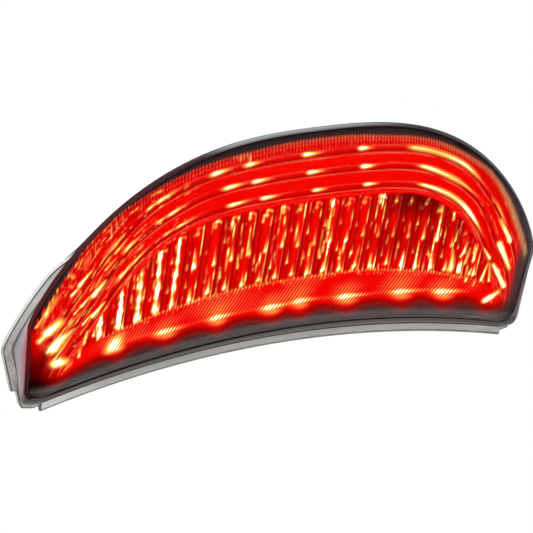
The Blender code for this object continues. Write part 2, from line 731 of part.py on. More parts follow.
# ---------------------------------------------------------------- connector
LATCH_PIVOT = PLUG + (0.0, -1.0, PLUG_HALF[2] + 3.0)
SLOT_CENTRE = PLUG + (0.0, 0.0, -3.3)

plug = solid("connector_body", block(PLUG, PLUG_HALF), PLUG_WHITE)
ears = [block(LATCH_PIVOT + (side * 4.9, 0.0, -1.2), (0.9, 2.0, 2.9)) for side in (-1, 1)]
boolean(plug, "connector_ears", joined(ears), "UNION")

# the open back end, then a wire hole and a terminal chamber for each lane
plug_cuts = [block(PLUG + (0.0, 8.0, 0.6), (5.2, 4.0, 3.2))]
for wire in WIRES:
    plug_cuts.append(rod(lane_point(wire, -PLUG_HALF[1] - 1.0), BACKWARD, 6.0, 1.3, 12))
    plug_cuts.append(block(lane_point(wire, -0.4), (1.25, 6.4, 1.25)))
booleans(plug, "connector_cut", plug_cuts, "DIFFERENCE")
boolean(plug, "connector_slot", block(SLOT_CENTRE, (9.0, 2.2, 0.95)), "DIFFERENCE")
boolean(plug, "connector_pivot_holes",
        rod(LATCH_PIVOT - (8.0, 0.0, 0.0), ACROSS, 16.0, 1.05, 24), "DIFFERENCE")

for wire in WIRES:
    solid("terminal_" + wire.label, block(lane_point(wire, 1.3), (0.85, 8.2, 0.4)),
          TERMINAL_METAL)

solid("connector_retainer", block(SLOT_CENTRE + (0.6, 0.0, 0.0), (7.3, 2.0, 0.75)),
      RETAINER_RED)

# ---------------------------------------------------------------- latch
LATCH_HALF_X = 3.6
PIN_HALF = 5.7

latch = solid("connector_latch",
              block(LATCH_PIVOT + (0.0, 0.5, 0.0), (LATCH_HALF_X, 10.0, 0.7)), LATCH_WHITE)
pivot_pin = rod(LATCH_PIVOT - (PIN_HALF, 0.0, 0.0), ACROSS, 2 * PIN_HALF, 1.0, 24)
nose = block(LATCH_PIVOT + (0.0, 9.7, -0.9), (LATCH_HALF_X, 0.8, 0.9))
tail = block(LATCH_PIVOT + (0.0, -8.6, 0.6), (LATCH_HALF_X, 1.0, 0.9))
latch_parts = booleans(latch, "latch_part", (pivot_pin, nose, tail), "UNION")

# the lever turns about its cross pin
latch_axis = bpy.data.objects.new("latch_axis", None)
latch_axis.location = placed(LATCH_PIVOT)
bpy.context.scene.collection.objects.link(latch_axis)
bpy.context.view_layer.update()
for child in (latch, *latch_parts):
    child.parent = latch_axis
    child.matrix_parent_inverse = latch_axis.matrix_world.inverted()
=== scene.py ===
# Half-moon LED tail light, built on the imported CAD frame. Lengths are millimetres
# from the middle of the centre bore, and placed() turns them into the frame in metres.
# X runs across the lamp, -Y is its front and +Z is up. Left is -X, as seen from the front.
import math

import bpy
import numpy as np
from mathutils import Matrix, Vector


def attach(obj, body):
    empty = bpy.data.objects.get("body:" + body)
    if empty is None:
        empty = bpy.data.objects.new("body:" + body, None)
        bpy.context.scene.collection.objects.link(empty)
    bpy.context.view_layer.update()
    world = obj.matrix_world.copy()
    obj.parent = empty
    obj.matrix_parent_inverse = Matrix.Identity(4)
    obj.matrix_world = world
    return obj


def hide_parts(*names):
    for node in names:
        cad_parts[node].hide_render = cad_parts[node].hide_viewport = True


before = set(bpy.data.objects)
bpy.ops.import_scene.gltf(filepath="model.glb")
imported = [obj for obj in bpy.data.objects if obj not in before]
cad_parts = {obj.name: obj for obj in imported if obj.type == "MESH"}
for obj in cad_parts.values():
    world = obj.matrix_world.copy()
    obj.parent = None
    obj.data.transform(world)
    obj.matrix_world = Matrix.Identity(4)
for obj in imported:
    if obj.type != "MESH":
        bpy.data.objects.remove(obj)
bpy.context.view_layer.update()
scene = bpy.context.scene

MM = 0.001
ORIGIN = np.array([0.0, 0.0, 8.5])      # the frame's origin, from the centre bore

# The lens face is a raked plane: "rise" is the distance up it, "depth" the way in behind it.
LENS_Y, LENS_Z = -54.0, -5.0
RAKE = math.radians(18.5)
UP_FACE = np.array([0.0, -math.sin(RAKE), math.cos(RAKE)])
INTO_FACE = np.array([0.0, math.cos(RAKE), math.sin(RAKE)])
FACE_MIDDLE = np.array([0.0, 15.0])     # x and rise

RIM_HALF, RIM_RISE, RIM_FALL, RIM_ARCH = 100.5, 63.2, 31.0, 18.0
RIM_POWER, RIM_SHAPE = 2.7, 0.8         # curve of the rim's upper edge
CROWN = 6.0                             # how far the face bulges forward
SKIN_DEPTH = 1.1                        # inner skin behind the face
OPTIC_GAP = 1.7                         # optic's face behind the lens face

FLANGE_HALF, FLANGE_SHOULDER_Z, FLANGE_RISE = 105.3, -15.1, 59.0
FLANGE_FOOT_Z, FLANGE_ARCH_Z = -39.2, -27.8
FLANGE_Y, FLANGE_T = -43.0, 2.4
FLANGE_BACK_Y = FLANGE_Y + FLANGE_T
HOUSING_FRONT_Y, HOUSING_BACK_Y = -38.5, -6.0

COLUMNS = 170       # segments over the top of an outline, and as many underneath
COUNT = 2 * COLUMNS


# ---------------------------------------------------------------- shapes
def ramp(value, start, end):
    """Smooth step: 0 at start, 1 at end, in either direction."""
    share = np.clip((value - start) / (end - start), 0.0, 1.0)
    return share * share * (3.0 - 2.0 * share)


def bell(value, width):
    return np.exp(-0.5 * (value / width) ** 2)


def face_points(x, rise, depth):
    """World points on or behind the raked plane of the rim."""
    x, rise, depth = np.broadcast_arrays(*(np.asarray(v, float) for v in (x, rise, depth)))
    foot = np.stack([x, np.full(x.shape, LENS_Y), np.full(x.shape, LENS_Z)], -1)
    return foot + rise[..., None] * UP_FACE + depth[..., None] * INTO_FACE


def on_wall(ring, y):
    """World points of an x, z outline in an upright plane."""
    return np.stack([ring[:, 0], np.full(len(ring), y), ring[:, 1]], 1)


def placed(points):
    return (np.asarray(points, float) - ORIGIN) * MM


def arch(x, half, base, lift, power, shape):
    share = np.minimum(np.abs(x) / half, 1.0)
    return base + lift * (1.0 - share ** power) ** shape


def rim_sag(x):
    """How much the rim's lower edge drops towards the sides."""
    return 12.6 * (x / 92.0) ** 2


def flange_sag(x):
    return 10.6 * (x / 93.0) ** 2


def crown(x, rise):
    """Depth of the bulged face: nought at the rim and smooth across the middle."""
    across = np.minimum(np.abs(x) / RIM_HALF, 1.0) ** RIM_POWER
    top = 50.0 * (1.0 - across - (np.maximum(rise, 0.0) / RIM_RISE) ** (1.0 / RIM_SHAPE))
    low = rise + RIM_ARCH + rim_sag(x)
    top, low = np.maximum(top, 0.0), np.maximum(low, 0.0)
    return -CROWN * np.tanh((top + low - np.hypot(top, low)) / 11.0)


def even(points, count):
    """The same line with evenly spaced points."""
    line = np.array(points, float)
    gap = np.hypot(*np.diff(line, axis=0).T)
    run = np.concatenate([[0.0], np.cumsum(gap)])
    want = np.linspace(0.0, run[-1], count)
    return np.stack([np.interp(want, run, line[:, 0]), np.interp(want, run, line[:, 1])], 1)


def half_moon(top, bottom, half, side_in, foot, corner):
    """Closed outline from the lower left corner over the top and back underneath.
    The sides draw in by side_in at the foot, and corner is the corner radius."""
    centre_x, centre_z = half - side_in - corner, foot + corner
    over = []
    for k in range(13):
        turn = math.pi * (1.25 - 0.25 * k / 12)
        over.append((-centre_x + corner * math.cos(turn), centre_z + corner * math.sin(turn)))
    for k in range(1, 400):
        x = -half * math.cos(math.pi * k / 400)
        over.append((x, float(top(x))))
    for k in range(13):
        turn = math.pi * (-0.25 * k / 12)
        over.append((centre_x + corner * math.cos(turn), centre_z + corner * math.sin(turn)))
    under = [over[-1]]
    for k in range(1, 120):
        x = centre_x - 2 * centre_x * k / 120
        under.append((x, float(bottom(x))))
    under.append(over[0])
    return np.concatenate([even(over, COLUMNS + 1)[:-1], even(under, COLUMNS + 1)[:-1]])


def rim_ring(inset=0.0):
    half = RIM_HALF - inset
    return half_moon(lambda x: arch(x, half, 0.0, RIM_RISE - inset, RIM_POWER, RIM_SHAPE),
                     lambda x: -RIM_ARCH + inset - rim_sag(x),
                     half, side_in=1.5, foot=-RIM_FALL + inset, corner=max(5.0 - 0.4 * inset, 1.5))


def flange_ring(inset=0.0, dip=2.6):
    """Outline of the flange, whose upper edge dips behind the rim over the middle."""
    half = FLANGE_HALF - inset

    def top(x):
        edge = arch(x, half, FLANGE_SHOULDER_Z, FLANGE_RISE - inset, 2.2, 0.85)
        return edge - dip * ramp(88.0 - abs(x), 0.0, 12.0)

    return half_moon(top, lambda x: FLANGE_ARCH_Z + inset - flange_sag(x),
                     half, side_in=3.6, foot=FLANGE_FOOT_Z + inset,
                     corner=max(4.0 - 0.3 * inset, 1.5))


def seal_ring(inset):
    return flange_ring(inset, dip=0.0)


def towards_middle(ring, share):
    return FACE_MIDDLE + (ring - FACE_MIDDLE) * share


def looped(rings, closed=False):
    """Faces that join each ring to the next, and the last to the first if closed."""
    count = len(rings[0])
    index = np.arange(count)
    faces = []
    for r in range(len(rings) if closed else len(rings) - 1):
        here, there = r * count + index, (r + 1) % len(rings) * count + index
        faces += np.stack([here, np.roll(here, -1), np.roll(there, -1), there], -1).tolist()
    return faces


def add_mesh(name, points, faces, sharp=None):
    """A smooth mesh from points in millimetres; edges above the sharp angle stay crisp."""
    mesh = bpy.data.meshes.new(name)
    mesh.from_pydata(placed(points).tolist(), [], faces)
    mesh.update()
    obj = bpy.data.objects.new(name, mesh)
    scene.collection.objects.link(obj)
    mesh.polygons.foreach_set("use_smooth", [True] * len(mesh.polygons))
    if sharp is not None:
        mesh.set_sharp_from_angle(angle=math.radians(sharp))
    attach(obj, "light")
    return obj


def give_attribute(obj, name, values):
    layer = obj.data.attributes.new(name, "FLOAT", "POINT")
    layer.data.foreach_set("value", np.asarray(values, np.float32).ravel())


def give_materials(obj, materials, slots):
    for material in materials:
        obj.data.materials.append(material)
    obj.data.polygons.foreach_set("material_index", slots)
    obj.data.update()


# ---------------------------------------------------------------- node trees
class Nodes:
    """A short way to write the node tree of a material or a world. Each input is a
    number, a colour or the output of another node."""

    def __init__(self, owner, output="OutputMaterial"):
        self.owner = owner
        owner.use_nodes = True
        self.tree = owner.node_tree
        self.tree.nodes.clear()
        self.output = self.tree.nodes.new("ShaderNode" + output)

    def put(self, socket, value):
        if isinstance(value, bpy.types.NodeSocket):
            self.tree.links.new(value, socket)
        elif socket.type == "RGBA":
            socket.default_value = (*value, 1.0)
        else:
            socket.default_value = value

    def node(self, kind, *values, out=0, settings=None, **inputs):
        """Adds a node and returns one output. Values fill the inputs in order, and
        named inputs have an underscore for each space."""
        node = self.tree.nodes.new("ShaderNode" + kind)
        for key, value in (settings or {}).items():
            setattr(node, key, value)
        for socket, value in zip(node.inputs, values):
            self.put(socket, value)
        for key, value in inputs.items():
            self.put(node.inputs[key.replace("_", " ")], value)
        return node.outputs[out]

    def math(self, operation, first, second):
        return self.node("Math", first, second, settings={"operation": operation})

    def times(self, first, second):
        return self.math("MULTIPLY", first, second)

    def mix(self, share, first, second, kind="RGBA"):
        first_at, second_at, out = {"RGBA": (6, 7, 2), "FLOAT": (2, 3, 0)}[kind]
        node = self.tree.nodes.new("ShaderNodeMix")
        node.data_type = kind
        for index, value in ((0, share), (first_at, first), (second_at, second)):
            self.put(node.inputs[index], value)
        return node.outputs[out]

    def span(self, value, start, end, low=0.0, high=1.0):
        """Smoothly from low, where value is start, to high, where it is end."""
        return self.node("MapRange", value, start, end, low, high,
                         settings={"interpolation_type": "SMOOTHSTEP"})

    def grade(self, value, start, end, first, second):
        """Colour that runs from first to second as value runs from start to end."""
        return self.mix(self.span(value, start, end), first, second)

    def attribute(self, name):
        return self.node("Attribute", out=2, settings={"attribute_name": name})

    def noise(self, scale, detail=3.0, roughness=0.55, where=None):
        where = where or self.node("TexCoord", out=3)
        return self.node("TexNoise", Vector=where, Scale=scale, Detail=detail,
                         Roughness=roughness)

    def flow(self, scales, detail=4.0):
        """Noise with its own scale along each axis."""
        where = self.node("Mapping", Vector=self.node("TexCoord", out=3), Scale=scales)
        return self.noise(1.0, detail, 0.6, where)

    def bump(self, height, strength, distance):
        return self.node("Bump", Height=height, Strength=strength, Distance=distance)

    def surface(self, colour, **inputs):
        return self.node("BsdfPrincipled", Base_Color=colour, **inputs)

    def clear(self, tint):
        return self.node("BsdfTransparent", Color=tint)

    def blend(self, share, first, second):
        return self.node("MixShader", share, first, second)

    def finish(self, surface):
        self.tree.links.new(surface, self.output.inputs[0])
        return self.owner


def new_material(name):
    return Nodes(bpy.data.materials.new(name))


# ---------------------------------------------------------------- plain materials
def plastic(name, colour, roughness, grain, depth, vary):
    """Moulded plastic: fine grain, slight mottling and uneven gloss."""
    mat = new_material(name)
    mottled = mat.noise(scale=45.0, detail=4.0)
    fine = mat.noise(scale=grain, detail=2.0)
    dark = [c * (1.0 - vary) for c in colour]
    light = [min(c * (1.0 + vary) + 0.004, 1.0) for c in colour]
    speck = [min(c * 1.35 + 0.01, 1.0) for c in colour]
    base = mat.grade(mottled, 0.35, 0.65, dark, light)
    base = mat.mix(mat.times(mat.span(fine, 0.55, 0.75), 0.35), base, speck)
    gloss = mat.span(mottled, 0.3, 0.7, low=roughness - 0.07, high=roughness + 0.08)
    return mat.finish(mat.surface(base, Roughness=gloss,
                                  Normal=mat.bump(fine, strength=0.35, distance=depth)))


def rubber(name):
    mat = new_material(name)
    mottled = mat.noise(scale=60.0, detail=5.0)
    fine = mat.noise(scale=1500.0, detail=2.0)
    base = mat.grade(mottled, 0.35, 0.7, (0.010, 0.010, 0.011), (0.026, 0.025, 0.025))
    return mat.finish(mat.surface(
        base, Roughness=mat.span(mottled, 0.3, 0.7, low=0.72, high=0.9), Specular_IOR_Level=0.3,
        Normal=mat.bump(fine, strength=0.5, distance=0.0001)))


def metal(name, colour, roughness, stretch=(60.0, 900.0, 60.0)):
    """Metal with fine drawn lines and a few dull clouds."""
    mat = new_material(name)
    lines = mat.flow(stretch)
    cloud = mat.noise(scale=220.0, detail=4.0)
    base = mat.grade(lines, 0.3, 0.7, [c * 0.82 for c in colour], colour)
    dull = mat.times(mat.span(cloud, 0.55, 0.8), 0.25)
    base = mat.mix(dull, base, [c * 0.55 for c in colour])
    gloss = mat.span(lines, 0.25, 0.75, low=roughness - 0.06, high=roughness + 0.14)
    return mat.finish(mat.surface(base, Metallic=1.0, Roughness=gloss,
                                  Normal=mat.bump(lines, strength=0.2, distance=0.00003)))


def circuit_board(name):
    mat = new_material(name)
    traces = mat.node("TexBrick", out=1, settings={"offset": 0.37, "squash": 1.4},
                      Vector=mat.node("TexCoord", out=3), Scale=140.0, Mortar_Size=0.09)
    weave = mat.noise(scale=1800.0, detail=1.0)
    base = mat.mix(traces, (0.012, 0.12, 0.045), (0.035, 0.23, 0.10))
    base = mat.mix(mat.times(weave, 0.25), base, (0.008, 0.06, 0.025))
    return mat.finish(mat.surface(
        base, Roughness=mat.span(weave, 0.3, 0.7, low=0.32, high=0.48),
        Normal=mat.bump(traces, strength=0.3, distance=0.00004)))


def diode(name):
    mat = new_material(name)
    warm = mat.grade(mat.noise(scale=900.0, detail=2.0), 0.3, 0.7,
                     (1.0, 0.30, 0.10), (1.0, 0.62, 0.35))
    return mat.finish(mat.surface((0.9, 0.75, 0.55), Roughness=0.25, Emission_Color=warm,
                                  Emission_Strength=1.6))


def mirror_tray(name):
    mat = new_material(name)
    cloud = mat.noise(scale=70.0)
    fine = mat.noise(scale=1200.0, detail=2.0)
    base = mat.grade(cloud, 0.3, 0.7, (0.70, 0.69, 0.71), (0.86, 0.86, 0.87))
    return mat.finish(mat.surface(
        base, Metallic=1.0, Roughness=mat.span(cloud, 0.3, 0.7, low=0.08, high=0.2),
        Normal=mat.bump(fine, strength=0.12, distance=0.00003)))


# ---------------------------------------------------------------- optic and lens materials
def optic_material():
    """Red moulding lit from behind. The pattern of light is in attributes, and the
    nodes add the grain of the moulding and turn it into colour."""
    mat = new_material("red_optic_lit")
    red, hot, pale, smoke = (mat.attribute(n) for n in ("red", "hot", "pale", "smoke"))
    fine = mat.noise(scale=1900.0, detail=2.0, roughness=0.6)
    coarse = mat.noise(scale=520.0, roughness=0.6)
    red = mat.times(red, mat.span(fine, 0.25, 0.75, low=0.84, high=1.08))
    sparkle = mat.times(mat.span(coarse, 0.60, 0.74), mat.times(mat.attribute("red"), 0.03))
    hot = mat.math("SUBTRACT", mat.math("ADD", hot, sparkle), 0.022)
    hot = mat.math("MAXIMUM", hot, 0.0)
    # a little warm light looks pink, more turns it amber and the most is white
    red_part = mat.math("ADD", red, mat.times(hot, 1.1))
    amber = mat.times(mat.math("POWER", hot, 1.15), 1.28)
    green_part = mat.math("ADD", mat.times(red, 0.002), amber)
    pink = mat.times(mat.math("MINIMUM", hot, 0.06), 0.45)
    pink = mat.math("ADD", pink, mat.times(mat.math("POWER", hot, 2.0), 0.20))
    white = mat.math("MAXIMUM", mat.math("SUBTRACT", hot, 0.6), 0.0)
    blue_part = mat.math("ADD", pink, mat.times(white, 1.1))
    glow = mat.node("CombineColor", red_part, green_part, blue_part)
    glow = mat.mix(mat.times(pale, 0.85), glow, (0.46, 0.40, 0.16))
    # painted light: a grey glow takes the place of the lit grey cover near the rim's lower edge
    # and on the ledge, where the lens rim shades them
    ground = mat.grade(coarse, 0.3, 0.7, (0.088, 0.076, 0.072), (0.108, 0.094, 0.089))
    glow = mat.mix(mat.attribute("ground"), glow, ground)
    glow = mat.node("Emission", Color=glow, Strength=1.06)
    grey = mat.grade(coarse, 0.3, 0.7, (0.118, 0.098, 0.094), (0.140, 0.116, 0.112))
    cover = mat.surface(grey, Roughness=0.35, Specular_IOR_Level=0.2,
                        Normal=mat.bump(fine, strength=0.1, distance=0.00003))
    gloss = mat.node("BsdfGlossy", Color=(0.5, 0.02, 0.015), Roughness=0.3)
    lit = mat.blend(0.012, glow, gloss)
    smoked = mat.blend(smoke, mat.clear((0, 0, 0)), cover)
    return mat.finish(mat.node("AddShader", lit, smoked))


def clear_face_material():
    """Smoked clear face: sees through to the optic, dark towards the rim."""
    mat = new_material("smoked_lens_face")
    border = mat.attribute("border")
    normal = mat.bump(mat.noise(scale=38.0, detail=2.0), strength=0.05, distance=0.0004)
    see = mat.clear(mat.mix(border, (0.99, 0.965, 0.965), (0.10, 0.055, 0.062)))
    gloss = mat.node("BsdfGlossy", Color=(1, 1, 1), Roughness=0.035, Normal=normal)
    smoke = mat.mix(mat.noise(scale=160.0, detail=2.0),
                    (0.030, 0.014, 0.017), (0.044, 0.021, 0.025))
    body = mat.surface(smoke, Roughness=0.3, Specular_IOR_Level=0.0)
    inner = mat.blend(mat.times(border, 0.8), see, body)
    # a weak reflection, which all but goes near the lower edge
    fresnel = mat.node("Fresnel", IOR=1.45, Normal=normal)
    fresnel = mat.math("MAXIMUM", mat.math("SUBTRACT", fresnel, 0.055), 0.0)
    upper = mat.math("SUBTRACT", 1.0, mat.times(mat.attribute("low"), 0.97))
    return mat.finish(mat.blend(mat.times(mat.times(fresnel, 0.5), upper), inner, gloss))


def rim_edge_material():
    """The rounded rim of the smoked face: dark, with soft bright reflections, a painted reflection
    and a painted red glow.
    """
    mat = new_material("smoked_lens_rim")
    normal = mat.bump(mat.noise(scale=60.0, detail=2.0), strength=0.04, distance=0.0003)
    base = mat.mix(mat.noise(scale=220.0), (0.026, 0.015, 0.018), (0.040, 0.023, 0.027))
    # the last tint, a pale grey streak along the top of the rim, is a painted reflection
    for name, tint in (("haze", (0.105, 0.088, 0.098)), ("low", (0.135, 0.125, 0.120)),
                       ("painted_gleam", (0.36, 0.37, 0.375))):
        base = mat.mix(mat.attribute(name), base, tint)
    # painted light: red glow from the optic on the rim, low on the left and along the upper left
    base = mat.mix(mat.times(mat.attribute("painted_red_glow"), 0.85), base, (0.20, 0.006, 0.006))
    body = mat.surface(base, Roughness=0.25, Specular_IOR_Level=0.0, Normal=normal)
    gloss = mat.node("BsdfGlossy", Color=(1, 1, 1), Roughness=0.10, Normal=normal)
    fresnel = mat.node("Fresnel", IOR=1.42, Normal=normal)
    shine = mat.times(fresnel, mat.times(mat.attribute("shine"), 0.9))
    return mat.finish(mat.blend(shine, body, gloss))


def wall_material():
    """Side wall of the moulding: grey, lets some light through, and picks up the red
    glow next to the rim."""
    mat = new_material("smoked_lens_wall")
    depth = mat.attribute("depth")
    low = mat.attribute("low")
    flow = mat.flow((30.0, 260.0, 30.0), detail=3.0)
    grey = mat.grade(flow, 0.3, 0.7, (0.42, 0.385, 0.41), (0.50, 0.47, 0.49))
    grey = mat.grade(depth, 0.35, 0.95, grey, (0.30, 0.275, 0.29))
    # painted light: the wall is paler over its upper left
    grey = mat.mix(mat.times(mat.attribute("light"), 0.75), grey, (0.74, 0.73, 0.72))
    glow = mat.mix(mat.span(depth, 0.03, 0.30, low=1.0, high=0.0), grey, (0.62, 0.19, 0.21))
    low_grey = mat.grade(depth, 0.3, 0.75, (0.085, 0.075, 0.073), (0.23, 0.22, 0.215))
    glow = mat.mix(low, glow, low_grey)
    edge = mat.math("MAXIMUM", mat.span(depth, 0.0, 0.05, low=1.0, high=0.0),
                    mat.span(depth, 0.93, 0.985))
    base = mat.mix(mat.times(edge, 0.75), glow, (0.05, 0.042, 0.040))
    body = mat.surface(base, Roughness=0.3, Specular_IOR_Level=0.35,
                       Normal=mat.bump(flow, strength=0.1, distance=0.0002))
    return mat.finish(mat.blend(0.92, mat.clear((0.78, 0.72, 0.73)), body))


def lip_material():
    """The clear perimeter lip: pale, with faint flow lines."""
    mat = new_material("clear_lip")
    edge = mat.attribute("edge")
    flow = mat.flow((25.0, 500.0, 320.0))
    grey = mat.grade(flow, 0.3, 0.7, (0.78, 0.775, 0.76), (0.92, 0.915, 0.90))
    cloud = mat.noise(scale=420.0, roughness=0.65)
    patchy = mat.times(mat.attribute("corner"), mat.span(cloud, 0.35, 0.65, low=0.25, high=0.75))
    grey = mat.mix(patchy, grey, (0.36, 0.34, 0.29))
    shaded = mat.grade(flow, 0.35, 0.65, (0.50, 0.49, 0.465), (0.63, 0.62, 0.59))
    grey = mat.mix(mat.times(mat.attribute("shade"), 0.8), grey, shaded)
    grey = mat.grade(edge, 0.30, 1.0, grey, (0.11, 0.105, 0.09))
    body = mat.surface(grey, Roughness=0.22, Specular_IOR_Level=0.5,
                       Normal=mat.bump(flow, strength=0.12, distance=0.0002))
    return mat.finish(mat.blend(0.90, mat.clear((0.90, 0.90, 0.88)), body))


def lip_edge_material(name, dark, light, cover=0.9):
    """Cut edges of the clear moulding, where the light is bent away."""
    mat = new_material(name)
    flow = mat.flow((140.0, 300.0, 140.0))
    body = mat.surface(mat.grade(flow, 0.3, 0.7, dark, light),
                       Roughness=0.25, Specular_IOR_Level=0.5,
                       Normal=mat.bump(flow, strength=0.15, distance=0.0002))
    return mat.finish(mat.blend(cover, mat.clear((0.8, 0.8, 0.76)), body))


def flange_back_material():
    """Back of the clear lip, with the dark seal behind it."""
    mat = new_material("clear_lip_back")
    flow = mat.flow((120.0, 260.0, 120.0), detail=3.0)
    grey = mat.grade(flow, 0.3, 0.7, (0.40, 0.39, 0.375), (0.50, 0.49, 0.475))
    grey = mat.mix(mat.attribute("low"), grey, (0.12, 0.112, 0.105))
    return mat.finish(mat.surface(grey, Roughness=0.3, Specular_IOR_Level=0.4,
                                  Normal=mat.bump(flow, strength=0.12, distance=0.0002)))


def inner_skin_material():
    mat = new_material("lens_inner_skin")
    ripple = mat.noise(scale=50.0, detail=2.0)
    see = mat.clear(mat.grade(ripple, 0.2, 0.8, (0.985, 0.98, 0.98), (1, 1, 1)))
    gloss = mat.node("BsdfGlossy", Color=(0.6, 0.5, 0.5), Roughness=0.2)
    return mat.finish(mat.blend(0.004, see, gloss))


# ---------------------------------------------------------------- curves of the optic
TABLE_X = np.linspace(0.0, 101.0, 1011)


def smooth_table(points):
    """A smooth curve through (x, rise) points, as its rise at each TABLE_X."""
    xs, ys = np.array(points, float).T
    gaps = np.diff(xs)
    slopes = np.diff(ys) / gaps
    tangent = np.zeros(len(xs))
    tangent[1:-1] = (slopes[:-1] * gaps[1:] + slopes[1:] * gaps[:-1]) / (gaps[:-1] + gaps[1:])
    tangent[-1] = slopes[-1]
    k = np.clip(np.searchsorted(xs, TABLE_X, "right") - 1, 0, len(gaps) - 1)
    t = np.clip((TABLE_X - xs[k]) / gaps[k], 0.0, None)
    inside = ((2 * t**3 - 3 * t**2 + 1) * ys[k] + (t**3 - 2 * t**2 + t) * gaps[k] * tangent[k]
              + (-2 * t**3 + 3 * t**2) * ys[k + 1] + (t**3 - t**2) * gaps[k] * tangent[k + 1])
    past = ys[-1] + (TABLE_X - xs[-1]) * tangent[-1]
    return np.where(TABLE_X > xs[-1], past, inside)


# Each curve is the same on both sides of the middle, as (x, rise) points.
EDGE = smooth_table((       # outer edge of the lit pattern
    (0, 59.3), (12.5, 59.0), (25, 57.6), (37.5, 55.5), (47, 52.8), (56, 48.8), (65.6, 43.0),
    (74, 36.8), (80, 30.3), (84, 25), (88, 18.3), (92.5, 10.2), (96, 2.8), (98, -4), (99, -16),
    (99.6, -34)))
ARCS = [smooth_table(points) for points in (    # steps of the arcs, from the outside in
    ((0, 54.2), (15, 54.0), (26, 53.1), (38, 51.3), (47, 48.6), (55, 45), (61, 41.4), (68, 35.2),
     (72, 30.5), (78, 23), (84, 13.5), (88.7, 5.6), (92, -2), (94, -9), (95.5, -20), (96.2, -34)),
    ((0, 47.8), (15, 47.5), (22, 47.1), (34, 45.9), (42, 44.1), (54.5, 38.4), (59, 35.7), (65, 31),
     (69.4, 26.6), (75, 18.6), (80, 9.4), (84, 2.4), (88, -5), (91, -13), (93, -24), (94, -34)),
    ((0, 40.8), (12, 40.7), (20, 40.4), (31, 39.5), (43, 37.0), (51, 33.7), (57, 30.3), (63, 25.3),
     (66, 22), (72, 14), (77.5, 4.6), (82, -3), (86, -10), (89, -17), (91, -26), (92, -34)))]
TOP = smooth_table((        # heads of the flutes
    (0, 37.1), (18, 36.8), (31, 35.8), (40, 34.4), (45, 32.8), (51, 29.8), (56, 26.4), (62, 21.4),
    (66, 16.8), (70, 12.2), (73, 8), (76, 3), (79, -4), (81.5, -10), (83.5, -18), (85, -34)))
LOW = smooth_table((        # feet of the flutes
    (0, 6.1), (12, 6.0), (31, 4.7), (45, 2.1), (55, -0.1), (62.5, -2.6), (72, -5.6), (80, -9.5),
    (88, -15), (96, -22)))
BAND_LINE = smooth_table((  # line of lights in the ribbed band
    (0, -4.7), (20, -5.3), (31, -6.1), (45, -7.1), (55, -8.3), (62, -9.6), (70, -10.8),
    (80, -13.6), (88, -15.6), (96, -19)))


def height(table, x):
    return np.interp(np.abs(x), TABLE_X, table)


def slope_of(table):
    return np.gradient(table, TABLE_X)


def distance_to(table, x, rise):
    """Signed distance above a curve, measured square to it."""
    slope = np.interp(np.abs(x), TABLE_X, slope_of(table))
    return (rise - height(table, x)) / np.sqrt(1.0 + slope * slope)


def along(table, x):
    """Length along a curve from the middle, with the sign of x."""
    step = np.sqrt(1.0 + slope_of(table) ** 2) * (TABLE_X[1] - TABLE_X[0])
    run = np.concatenate([[0.0], np.cumsum(0.5 * (step[1:] + step[:-1]))])
    return np.sign(x) * np.interp(np.abs(x), TABLE_X, run)


def noise(across, upward, seed):
    """Smooth value noise on a unit lattice, from 0 to 1. Callers scale the two
    coordinates to set the grain, and shift them to pick a patch of it."""
    grid = np.random.RandomState(seed).rand(256, 256)
    column, row = np.floor(across).astype(int), np.floor(upward).astype(int)
    u, v = across - column, upward - row
    u, v = u * u * (3 - 2 * u), v * v * (3 - 2 * v)

    def corner(i, j):
        return grid[(column + i) % 256, (row + j) % 256]

    return ((corner(0, 0) * (1 - u) + corner(1, 0) * u) * (1 - v)
            + (corner(0, 1) * (1 - u) + corner(1, 1) * u) * v)


# ---------------------------------------------------------------- pattern of the lit optic
# In the pattern below, ramps fade a feature in or out between two places, and bells
# set its place and width, both in millimetres. The other factors are light levels.
TOOTH_PITCH, BEAD_PITCH = 1.25, 1.36
RIB_PITCH, RIB_LEAN = 1.42, 0.47
FLUTE_PITCH, FLUTE_SHIFT = 6.42, 1.2

